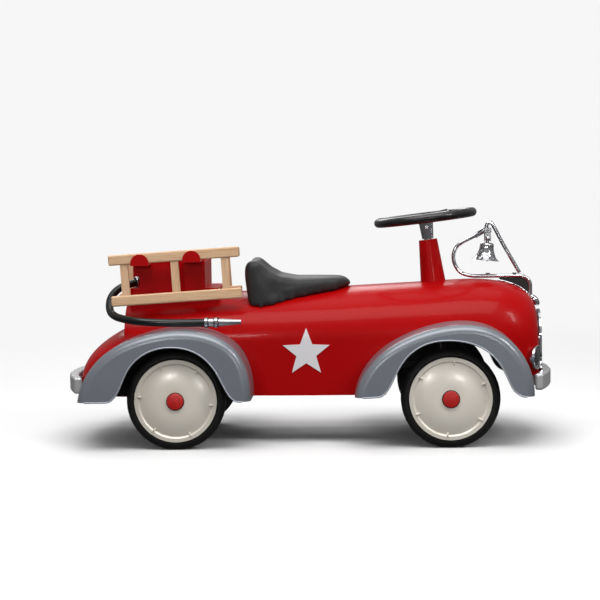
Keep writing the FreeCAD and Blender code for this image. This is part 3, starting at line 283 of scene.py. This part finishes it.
FINISHES = {
    "body_red": paint("body_red", RED, RED_SHADE, 0.3, inside=body_middle, **COAT),
    "red": paint("red", RED, RED_SHADE, 0.3, **COAT),
    "grey": paint("grey", GREY, GREY_SHADE, 0.33, 0.35, arch_middle, Metallic=0.35,
                  Specular_IOR_Level=0.5, Coat_Weight=0.3, Coat_Roughness=0.12),
    "silver": paint("silver", SILVER, srgb(196, 195, 197), 0.3, 0.4, Metallic=0.4,
                    Coat_Weight=0.3, Coat_Roughness=0.2),
    "cream": paint("cream", CREAM, srgb(232, 224, 210), 0.3, 0.12, Metallic=0.1,
                   Specular_IOR_Level=0.5, Coat_Weight=0.5, Coat_Roughness=0.16),
    "frame_black": paint("frame_black", BLACK, srgb(20, 20, 20), 0.55),
    "chrome": metal("chrome", srgb(200, 200, 204), 0.13),
    "steel": metal("steel", srgb(165, 165, 168), 0.28, 0.4),
    "tyre": moulded("tyre", srgb(15, 12, 11), srgb(34, 31, 30), 0.62, 0.00012, 500.0),
    "core": moulded("core", srgb(14, 12, 13), srgb(26, 25, 25), 0.5),
    "cap": moulded("cap", srgb(190, 24, 20), srgb(204, 44, 38), 0.38),
    "bush": moulded("bush", srgb(198, 196, 190), srgb(210, 208, 204), 0.45),
    "rim_black": moulded("rim_black", srgb(18, 18, 18), srgb(36, 36, 36), 0.3, 0.00005, 700.0,
                         Coat_Weight=0.25, Coat_Roughness=0.2),
    "hose": moulded("hose", srgb(10, 10, 10), srgb(18, 18, 18), 0.22, 0.00003, 300.0),
    "wood_long": wood("wood_long", (0.04, 1, 1)),
    "wood_up": wood("wood_up", (1, 1, 0.04)),
    "vinyl": vinyl("vinyl"),
    "lens": lens("lens"),
    "white": paint("white", srgb(232, 230, 232), srgb(226, 224, 227), 0.35),
    # The fender beads' lighter grey is a painted highlight along the fenders' edges.
    "bead_highlight": paint("bead_highlight", srgb(176, 181, 190), srgb(168, 173, 183), 0.35, Metallic=0.3),
    "liner": moulded("liner", srgb(9, 8, 9), srgb(16, 15, 15), 0.75),
}

NODE_FINISH = {
    "body_red": ("body_shell",),
    "red": ("box_plinth", "equipment_box", "ladder_hooks", "steering_tower"),
    "grey": tuple("fender_%s_%s" % corner for corner in CORNERS),
    "silver": ("bumper_front", "bumper_rear"),
    # The bell gusset's black is a painted dark reflection of a polished plate.
    "frame_black": ("underframe", "cross_members", "front_axle_beam", "bumper_brackets", "bell_gusset"),
    "chrome": ("bell", "bell_bracket", "bell_post", "bell_yoke", "bell_pin", "bell_clapper",
               "bracket_screws", "grille_frame", "grille_bars", "headlight_rims", "headlight_shells",
               "hood_ornament", "nozzle_ferrule", "nozzle_tip", "steering_boss"),
    "steel": ("front_axle", "rear_axle", "steering_shaft"),
    "bush": ("steering_bushes",),
    "rim_black": ("steering_wheel", "hose_fitting"),
    "wood_long": ("ladder_left_rails", "ladder_right_rails"),
    "wood_up": ("ladder_left_rungs", "ladder_right_rungs"),
    "lens": ("headlight_lenses",),
    "hose": ("hose",),
    "vinyl": ("seat",),
}
for part, finish in (("tyre", "tyre"), ("core", "core"), ("cover", "cream"), ("cap", "cap")):
    NODE_FINISH[finish] = tuple("wheel_%s_%s_%s" % (*corner, part) for corner in CORNERS)


def wear(thing, finish):
    """Give an object one finish in all its slots."""
    thing.data.materials.clear()
    thing.data.materials.append(FINISHES[finish])
    return thing


for finish, node_names in NODE_FINISH.items():
    for node_name in node_names:
        for slot in NODES[node_name].material_slots:
            slot.material = FINISHES[finish]


# ---------------------------------------------------------------- making pieces

def from_bmesh(name, shape, smooth=True):
    """A piece with the shape as its mesh."""
    mesh = bpy.data.meshes.new(name)
    shape.to_mesh(mesh)
    shape.free()
    for polygon in mesh.polygons:
        polygon.use_smooth = smooth
    piece = bpy.data.objects.new(name, mesh)
    bpy.context.scene.collection.objects.link(piece)
    return piece


def apply_modifiers(piece):
    """Leave the piece as the plain mesh that its modifiers make."""
    bpy.context.view_layer.update()
    graph = bpy.context.evaluated_depsgraph_get()
    made = bpy.data.meshes.new_from_object(piece.evaluated_get(graph))
    piece.modifiers.clear()
    old = piece.data
    piece.data = made
    bpy.data.meshes.remove(old)
    return piece


def circle(radius, count):
    """The (x, y) of points spaced evenly round a circle."""
    turns = [2 * math.pi * step / count for step in range(count)]
    return [(radius * math.cos(turn), radius * math.sin(turn)) for turn in turns]


def span(shape, low, high):
    """Faces all the way round between two rings of points."""
    for step in range(len(low)):
        following = (step + 1) % len(low)
        shape.faces.new((low[step], low[following], high[following], high[step]))


def thicken(shape, across):
    """Give a sheet a second side, moved sideways, and the walls between the two."""
    made = bmesh.ops.extrude_face_region(shape, geom=shape.faces[:])["geom"]
    for element in made:
        if isinstance(element, bmesh.types.BMVert):
            element.co.y += across
    bmesh.ops.recalc_face_normals(shape, faces=shape.faces)


def tube(name, points, radius, closed=False):
    """A round tube on a smooth line through points."""
    curve = bpy.data.curves.new(name, "CURVE")
    curve.dimensions = "3D"
    curve.bevel_depth = radius
    curve.bevel_resolution = 5
    curve.resolution_u = 6
    curve.use_fill_caps = True
    spline = curve.splines.new("NURBS")
    spline.points.add(len(points) - 1)
    for point, place in zip(spline.points, points):
        point.co = (*place, 1.0)
    spline.order_u = 3
    spline.use_endpoint_u = not closed
    spline.use_cyclic_u = closed
    piece = bpy.data.objects.new(name, curve)
    bpy.context.scene.collection.objects.link(piece)
    return piece


RING_POINTS = 24


def ring(name, centre, axis, radius, thickness):
    """A round ring about an axis. Its spline touches the middles of its control polygon's sides."""
    turn = Vector(axis).to_track_quat("Z", "Y")
    reach = radius / math.cos(math.pi / RING_POINTS)
    points = [Vector(centre) + turn @ Vector((x, y, 0)) for x, y in circle(reach, RING_POINTS)]
    return tube(name, points, thickness, closed=True)


def attach(piece, body, finish):
    """Finish a new piece and let it ride on a body of the model."""
    wear(piece, finish)
    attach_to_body(piece, body)
    return piece


HEAD_RINGS = 7
HEAD_AROUND = 36
SLOT_WIDTH = 0.16
SLOT_REACH = 0.75
SLOT_DEPTH = 0.45


def dome(name, place, outward, radius, height, slots):
    """A round screw or rivet head, with 0 slots, 1 or a cross of 2 pressed in its crown."""
    shape = bmesh.new()
    rows = []
    for number in range(HEAD_RINGS):
        angle = math.pi / 2 * number / HEAD_RINGS
        level = height * math.sin(angle)
        rows.append([shape.verts.new((x, y, level))
                     for x, y in circle(radius * math.cos(angle), HEAD_AROUND)])
    top = shape.verts.new((0, 0, height))
    for low, high in zip(rows, rows[1:]):
        span(shape, low, high)
    for step in range(HEAD_AROUND):
        shape.faces.new((rows[-1][step], rows[-1][(step + 1) % HEAD_AROUND], top))
    shape.faces.new(list(reversed(rows[0])))
    for vertex in shape.verts:
        for slot in range(slots):
            across = vertex.co.y if slot else vertex.co.x
            along = vertex.co.x if slot else vertex.co.y
            if abs(across) < radius * SLOT_WIDTH and abs(along) < radius * SLOT_REACH:
                vertex.co.z -= height * SLOT_DEPTH
    shape.normal_update()
    piece = from_bmesh(name, shape)
    turn = Vector(outward).to_track_quat("Z", "Y").to_matrix().to_4x4()
    piece.data.transform(Matrix.Translation(place) @ turn)
    return piece


# ---------------------------------------------------------------- hose

HOSE_ROUTE = [(-273, -27, 247.5), (-289, -36, 244.5), (-301.5, -47, 236.5), (-308.5, -59, 226.5),
              (-309.5, -71, 215), (-306, -84.5, 204.5), (-296, -100, 199), (-280.5, -115, 196),
              (-261, -126.5, 193.8), (-237, -132, 192.3), (-209, -132.5, 191.2), (-181, -133, 190.8),
              (-155, -132, 191)]
HOSE_RADIUS = 6 * MM

# The hose is the thickest tube, so it gets more faces than the others.
hose = tube("hose_rubber", [mm(*corner) for corner in HOSE_ROUTE], HOSE_RADIUS)
hose.data.bevel_resolution = 9
hose.data.resolution_u = 16
attach(hose, "chassis", "hose")
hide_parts("hose")


# ---------------------------------------------------------------- seat

SEAT_VOXEL = 4 * MM
SEAT_SWELL = 3 * MM
SEAT_PRESSURE = 4.0
SWELL_FRAMES = 20


def swell(piece, limit):
    """Blow the pad up a little with cloth, so that its faces crown, and cap how far it moves."""
    before = [vertex.co.copy() for vertex in piece.data.vertices]
    cloth = piece.modifiers.new("Cloth", "CLOTH")
    cloth.settings.use_pressure = True
    cloth.settings.uniform_pressure_force = SEAT_PRESSURE
    cloth.settings.effector_weights.gravity = 0.0
    cloth.point_cache.frame_end = SWELL_FRAMES
    for number in range(1, SWELL_FRAMES + 1):
        bpy.context.scene.frame_set(number)
    apply_modifiers(piece)
    for vertex, start in zip(piece.data.vertices, before):
        move = vertex.co - start
        if move.length > limit:
            vertex.co = start + move.normalized() * limit
    bpy.context.scene.frame_set(1)


def relax(piece, times):
    """Even out the surface, with a modifier."""
    modifier = piece.modifiers.new("Smooth", "SMOOTH")
    modifier.factor = 0.5
    modifier.iterations = times


def seat_cushion():
    """The padded seat: the CAD form with even, rounded faces, swollen and subdivided."""
    shape = bmesh.new()
    shape.from_mesh(NODES["seat"].data)
    piece = from_bmesh("seat_cushion", shape)
    remesh = piece.modifiers.new("Remesh", "REMESH")
    remesh.mode = "VOXEL"
    remesh.voxel_size = SEAT_VOXEL
    relax(piece, 6)
    apply_modifiers(piece)
    swell(piece, SEAT_SWELL)
    relax(piece, 3)
    smooth = piece.modifiers.new("Subdivision", "SUBSURF")
    smooth.levels = smooth.render_levels = 1
    apply_modifiers(piece)
    for polygon in piece.data.polygons:
        polygon.use_smooth = True
    return piece


seat = seat_cushion()
attach(seat, "chassis", "vinyl")
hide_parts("seat")


# ---------------------------------------------------------------- fender beads, in a lighter grey that paints their highlight

BEAD_RADIUS = 1.2 * MM
BEAD_STEP = 2.5 * MM
SHARP = math.radians(60)
WELD = 0.01 * MM
ON_FACE = 0.1 * MM


def in_rows(links):
    """Points that are linked one to the next, as rows; a row that closes ends where it starts."""
    rows = []
    unused = set(links)
    ends = [vertex for vertex in links if len(links[vertex]) == 1]
    for start in ends + list(links):
        if start not in unused:
            continue
        row = []
        ahead = [start]
        while ahead:
            row.append(ahead[0])
            unused.discard(ahead[0])
            ahead = [vertex for vertex in links[row[-1]] if vertex in unused]
        closed = len(row) > 2 and row[0] in links[row[-1]]
        points = [vertex.co.copy() for vertex in row]
        rows.append(points + points[:1] if closed else points)
    return [row for row in rows if len(row) > 2]


def bead_lines(node_name):
    """The sharp edges of a fender's outer face, as rows of points in order."""
    low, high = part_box(node_name)
    outer = low[1] if low[1] < 0 else high[1]
    shape = bmesh.new()
    shape.from_mesh(NODES[node_name].data)
    bmesh.ops.remove_doubles(shape, verts=shape.verts, dist=WELD)
    shape.normal_update()
    links = {}
    for edge in shape.edges:
        on_face = all(abs(vertex.co.y - outer) < ON_FACE for vertex in edge.verts)
        if on_face and len(edge.link_faces) == 2 and edge.calc_face_angle() > SHARP:
            first, second = edge.verts
            links.setdefault(first, []).append(second)
            links.setdefault(second, []).append(first)
    rows = in_rows(links)
    shape.free()
    return rows


def spaced(points):
    """The points of a row that are a step or more from the last one kept, and the row's end."""
    kept = [points[0]]
    for point in points[1:]:
        if (point - kept[-1]).length >= BEAD_STEP:
            kept.append(point)
    if (kept[-1] - points[-1]).length > BEAD_STEP / 4:
        kept.append(points[-1])
    return kept


def fender_bead_highlight(end, side):
    """The rolled edge of one fender: a tube along each sharp edge, joined into one mesh, its lighter grey a
    painted highlight along the edge.
    """
    shape = bmesh.new()
    for row in bead_lines("fender_%s_%s" % (end, side)):
        bead_highlight = tube("bead_highlight", spaced(row), BEAD_RADIUS)
        made = bpy.data.meshes.new_from_object(bead_highlight)
        shape.from_mesh(made)
        bpy.data.meshes.remove(made)
        bpy.data.objects.remove(bead_highlight)
    piece = from_bmesh("fender_bead_%s_%s" % (end, side), shape)
    attach(piece, "chassis", "bead_highlight")


# ---------------------------------------------------------------- wheel liners

LINER_OUT = 107.2
LINER_THICK = 0.8
LINER_EDGE = [(-326, 77), (-318, 106), (-292, 142), (-250, 164), (-192, 174), (-146, 166),
              (-113, 144), (-98, 112), (-94, 77)]


def smooth_line(points):
    """The points of the smooth line that a tube through these points follows."""
    guide = tube("guide", points, 0.0)
    line = bpy.data.meshes.new_from_object(guide)
    places = [vertex.co.copy() for vertex in line.vertices]
    bpy.data.meshes.remove(line)
    bpy.data.objects.remove(guide)
    return places


def wheel_liner(side, sign):
    """A thin dark panel between the rear wheel and the body's side, straight along its foot."""
    across = sign * LINER_OUT * MM
    foot = LINER_EDGE[0][1] * MM
    shape = bmesh.new()
    edge = [shape.verts.new((point.x, across, point.z))
            for point in smooth_line([mm(x, 0, z) for x, z in LINER_EDGE])]
    below = [shape.verts.new((vertex.co.x, across, foot)) for vertex in edge[1:-1]]
    below = [edge[0]] + below + [edge[-1]]
    for number in range(len(edge) - 1):
        corners = (edge[number], edge[number + 1], below[number + 1], below[number])
        shape.faces.new(list(dict.fromkeys(corners)))
    thicken(shape, sign * LINER_THICK * MM)
    attach(from_bmesh("wheel_liner_" + side, shape, smooth=False), "chassis", "liner")


for side, sign in SIDES:
    wheel_liner(side, sign)
    for end in ENDS:
        fender_bead_highlight(end, side)


# ---------------------------------------------------------------- wheel covers

NIB_COUNT = 6
NIB_START = {"front": 24.5, "rear": -7.0}
NIB_PLACE = 54.5
NIB_SIZE = (3.9, 1.5, 1.6)
COVER_RISE = 3.7
CAP_RING_RADIUS = 12.9
CAP_RING_THICK = 0.9
CAP_RING_SINK = 0.2


def wheel_trim(end, side, sign):
    """Small pressed nibs round the cover, and a dark ring round its hub cap."""
    low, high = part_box("wheel_%s_%s_cover" % (end, side))
    middle = (low + high) / 2
    face = high.y if sign > 0 else low.y
    shape = bmesh.new()
    for number in range(NIB_COUNT):
        angle = math.radians(NIB_START[end] + number * 360 / NIB_COUNT)
        out = Vector((math.cos(angle), 0, math.sin(angle)))
        along = Vector((-math.sin(angle), 0, math.cos(angle)))
        ball = bmesh.ops.create_uvsphere(shape, u_segments=16, v_segments=10, radius=1.0)["verts"]
        centre = middle + out * NIB_PLACE * MM
        centre.y = face - sign * COVER_RISE * MM
        for vertex in ball:
            local = vertex.co.copy()
            vertex.co = (centre + out * local.x * NIB_SIZE[0] * MM + along * local.y * NIB_SIZE[1] * MM
                         + Vector((0, sign * local.z * NIB_SIZE[2] * MM, 0)))
    bmesh.ops.recalc_face_normals(shape, faces=shape.faces)
    body = "wheel_%s_%s" % (end, side)
    attach(from_bmesh("cover_nibs_%s_%s" % (end, side), shape), body, "cream")
    centre = Vector((middle.x, face - sign * CAP_RING_SINK * MM, middle.z))
    trim = ring("cap_ring_%s_%s" % (end, side), centre, (0, 1, 0), CAP_RING_RADIUS * MM, CAP_RING_THICK * MM)
    attach(trim, body, "core")


for side, sign in SIDES:
    for end in ENDS:
        wheel_trim(end, side, sign)


# ---------------------------------------------------------------- badge

STAR_PLACE = (-2, 141)
STAR_OUT = 38
STAR_IN = 16
STAR_CORNERS = 10
STAR_CUTS = 7
STAR_THICK = 0.9
STAR_SINK = 0.2
WELL_OUTSIDE = 0.3


def star(side, sign):
    """A plain five-pointed star, pressed to the curve of the body's side."""
    shape = bmesh.new()
    shape.from_mesh(NODES["body_shell"].data)
    skin = BVHTree.FromBMesh(shape)
    shape.free()
    shape = bmesh.new()
    middle_x, middle_z = STAR_PLACE
    centre = shape.verts.new((middle_x * MM, 0, middle_z * MM))
    rim = []
    for number in range(STAR_CORNERS):
        reach = STAR_IN if number % 2 else STAR_OUT
        angle = math.pi / 2 + 2 * math.pi * number / STAR_CORNERS
        rim.append(shape.verts.new(((middle_x + reach * math.cos(angle)) * MM, 0,
                                    (middle_z + reach * math.sin(angle)) * MM)))
    for number in range(STAR_CORNERS):
        shape.faces.new((centre, rim[number], rim[(number + 1) % STAR_CORNERS]))
    bmesh.ops.subdivide_edges(shape, edges=shape.edges, cuts=STAR_CUTS, use_grid_fill=True)
    for vertex in shape.verts:
        start = Vector((vertex.co.x, sign * WELL_OUTSIDE, vertex.co.z))
        hit = skin.ray_cast(start, Vector((0, -sign, 0)))[0]
        vertex.co.y = hit.y + sign * STAR_THICK * MM
    thicken(shape, -sign * (STAR_THICK + STAR_SINK) * MM)
    attach(from_bmesh("side_star_" + side, shape, smooth=False), "chassis", "white")


for side, sign in SIDES:
    star(side, sign)


# ---------------------------------------------------------------- screws, rivets and trim

# Each head: its name, its body, its place, the way it faces, its radius, its height and its slots.
HEADS = [("pivot_screw_" + side, "chassis", (284, sign * 9.5, 310), (0, sign, 0), 3.6, 2.2, 0)
         for side, sign in SIDES]
HEADS += [("boss_screw", "steering", (187.4, -10.6, 328.4), (0, -1, 0), 3.4, 1.8, 2),
          ("grille_rivet", "chassis", (363.5, 0, 193.5), (1, 0, 0), 2.4, 1.6, 0)]
for name, body, place, outward, radius, height, slots in HEADS:
    head = dome(name, mm(*place), outward, radius * MM, height * MM, slots)
    attach(head, body, "chrome")

TRIM_ROUTE = [(300, 244.6), (314, 241.3), (328, 236.4), (340, 229), (348, 221), (352, 214)]
TRIM_ASIDE = 2.6
TRIM_RADIUS = 1.3
for side, sign in SIDES:
    route = [mm(x, sign * TRIM_ASIDE, z) for x, z in TRIM_ROUTE]
    attach(tube("gusset_trim_" + side, route, TRIM_RADIUS * MM), "chassis", "chrome")

FITTING_RINGS = (1.0, 7.7)
FITTING_RING_RADIUS = 8.3
FITTING_RING_THICK = 1.2
hose_start = mm(*HOSE_ROUTE[0])
hose_exit = (mm(*HOSE_ROUTE[1]) - hose_start).normalized()
for number, back in enumerate(FITTING_RINGS):
    band = ring("fitting_ring_%d" % number, hose_start - hose_exit * back * MM, hose_exit,
                FITTING_RING_RADIUS * MM, FITTING_RING_THICK * MM)
    attach(band, "chassis", "chrome")

# Black rings round the nozzle, in the hose's black: painted dark reflections on its chrome.
NOZZLE_DARK_BANDS = (4.9, 14.1, 20.2)
NOZZLE_DARK_BAND_RADIUS = 6.4
NOZZLE_DARK_BAND_THICK = 0.9
hose_end = mm(*HOSE_ROUTE[-1])
hose_finish = (hose_end - mm(*HOSE_ROUTE[-2])).normalized()
for number, ahead in enumerate(NOZZLE_DARK_BANDS):
    dark_band = ring("nozzle_dark_band_%d" % number, hose_end + hose_finish * ahead * MM, hose_finish,
                NOZZLE_DARK_BAND_RADIUS * MM, NOZZLE_DARK_BAND_THICK * MM)
    attach(dark_band, "chassis", "hose")


# ---------------------------------------------------------------- camera

CAMERA_PLACE = Vector((0.0892, -2.850, 0.4038))
CAMERA_YAW = math.radians(-2.081)
CAMERA_PITCH = math.radians(-3.779)
CAMERA_ROLL = math.radians(-0.741)
CAMERA_LENS = 107.69
SENSOR = 36.0


def camera():
    """The camera, level at first and then rolled. Yaw is measured from +Y, pitch from level."""
    lens_data = bpy.data.cameras.new("photo_camera")
    lens_data.lens = CAMERA_LENS
    lens_data.sensor_width = SENSOR
    lens_data.clip_end = 50.0
    forward = Vector((math.sin(CAMERA_YAW) * math.cos(CAMERA_PITCH),
                      math.cos(CAMERA_YAW) * math.cos(CAMERA_PITCH), math.sin(CAMERA_PITCH)))
    level = Vector((math.cos(CAMERA_YAW), -math.sin(CAMERA_YAW), 0.0))
    upward = level.cross(forward)
    right = level * math.cos(CAMERA_ROLL) + upward * math.sin(CAMERA_ROLL)
    above = upward * math.cos(CAMERA_ROLL) - level * math.sin(CAMERA_ROLL)
    turn = Matrix((right, above, -forward)).transposed().to_4x4()
    viewer = bpy.data.objects.new("photo_camera", lens_data)
    viewer.matrix_world = Matrix.Translation(CAMERA_PLACE) @ turn
    bpy.context.scene.collection.objects.link(viewer)
    bpy.context.scene.camera = viewer


# ---------------------------------------------------------------- stage

FLOOR_COLOUR = srgb(240, 240, 240)
UNLIT = (0, 0, 0, 1)
WHITE = (1, 1, 1, 1)
PALE = 0.93
FLOOR_RADIUS = 3.0
GLOW_START = 0.5
GLOW_END = 2.2
BEND = 2.0
BEND_STEPS = 12
CEILING = 8.0
PINHOLE = 0.001
STAGE_AROUND = 96


def surface(name, rings):
    """A round sheet from its rings of (radius, height)."""
    shape = bmesh.new()
    loops = [[shape.verts.new((x, y, height)) for x, y in circle(radius, STAGE_AROUND)]
             for radius, height in rings]
    for low, high in zip(loops, loops[1:]):
        span(shape, high, low)
    return from_bmesh(name, shape)


def stage():
    """A pale floor that melts into an evenly lit backdrop all round."""
    floor = surface("pale_floor", [(PINHOLE, 0), (GLOW_START, 0), (GLOW_END, 0), (FLOOR_RADIUS, 0)])
    made = Finish("pale_floor", FLOOR_COLOUR, 0.9, Specular_IOR_Level=0.0, Emission_Color=WHITE)
    away = made.add("ShaderNodeVectorMath", {0: made.place}, operation="LENGTH").outputs["Value"]
    glow = made.remap(away, GLOW_START, GLOW_END, 0.0, 1.0)
    made.feed("Base Color", made.mix(glow, FLOOR_COLOUR, UNLIT))
    made.feed("Emission Strength", made.maths("MULTIPLY", glow, PALE))
    floor.data.materials.append(made.material)
    rings = [(FLOOR_RADIUS, 0)]
    for step in range(1, BEND_STEPS + 1):
        angle = math.pi / 2 * step / BEND_STEPS
        rings.append((FLOOR_RADIUS + BEND * math.sin(angle), BEND - BEND * math.cos(angle)))
    rings += [(FLOOR_RADIUS + BEND, CEILING), (PINHOLE, CEILING)]
    backdrop = surface("pale_backdrop", rings)
    lit = Finish("pale_backdrop", UNLIT, 1.0, Specular_IOR_Level=0.0, Emission_Color=WHITE,
                 Emission_Strength=PALE)
    backdrop.data.materials.append(lit.material)
    for piece in (floor, backdrop):
        piece.visible_diffuse = False
        piece.visible_glossy = False
    backdrop.visible_shadow = False


# ---------------------------------------------------------------- light

SKY_HEIGHTS = (-0.25, 0.5)
SKY_STRENGTHS = (0.1, 0.36)

# Each softbox: its name, its place, what it points at, its width and height, and its power.
SOFTBOXES = (
    ("key", (-0.1, -1.2, 2.5), (0, 0, 0.1), (3.0, 1.6), 58),
    ("overhead", (0, 0.5, 2.5), (0, 0, 0), (2.4, 1.2), 10),
    ("catch_left", (-0.65, -2.45, 0.75), (0, 0, 0.1), (0.25, 0.28), 5),
    ("catch_right", (0.62, -2.45, 0.5), (0.1, 0, 0.1), (0.22, 0.25), 3.5),
    ("nose_patch", (2.0, -1.4, 1.7), (0.3, 0, 0.2), (0.3, 0.8), 16),
    ("behind", (-0.5, 2.2, 1.6), (0, 0, 0.15), (1.6, 0.9), 18),
)


def world():
    """Dim light from all round, dimmest from below, so that the softboxes shape the paint and chrome."""
    sky = bpy.data.worlds.new("studio")
    bpy.context.scene.world = sky
    sky.use_nodes = True
    nodes, links = sky.node_tree.nodes, sky.node_tree.links
    place = nodes.new("ShaderNodeTexCoord")
    parts = nodes.new("ShaderNodeSeparateXYZ")
    ramp = nodes.new("ShaderNodeMapRange")
    links.new(place.outputs["Generated"], parts.inputs[0])
    links.new(parts.outputs["Z"], ramp.inputs["Value"])
    for socket, value in zip(("From Min", "From Max", "To Min", "To Max"), SKY_HEIGHTS + SKY_STRENGTHS):
        ramp.inputs[socket].default_value = value
    links.new(ramp.outputs["Result"], nodes["Background"].inputs["Strength"])
    nodes["Background"].inputs["Color"].default_value = WHITE


def softbox(name, place, target, size, power):
    light = bpy.data.lights.new(name, "AREA")
    light.shape = "RECTANGLE"
    light.size, light.size_y = size
    light.energy = power
    lamp = bpy.data.objects.new(name, light)
    lamp.location = place
    lamp.rotation_euler = (Vector(target) - Vector(place)).to_track_quat("-Z", "Y").to_euler()
    bpy.context.scene.collection.objects.link(lamp)


camera()
stage()
world()
for settings in SOFTBOXES:
    softbox(*settings)
bpy.context.scene.view_settings.view_transform = "Standard"
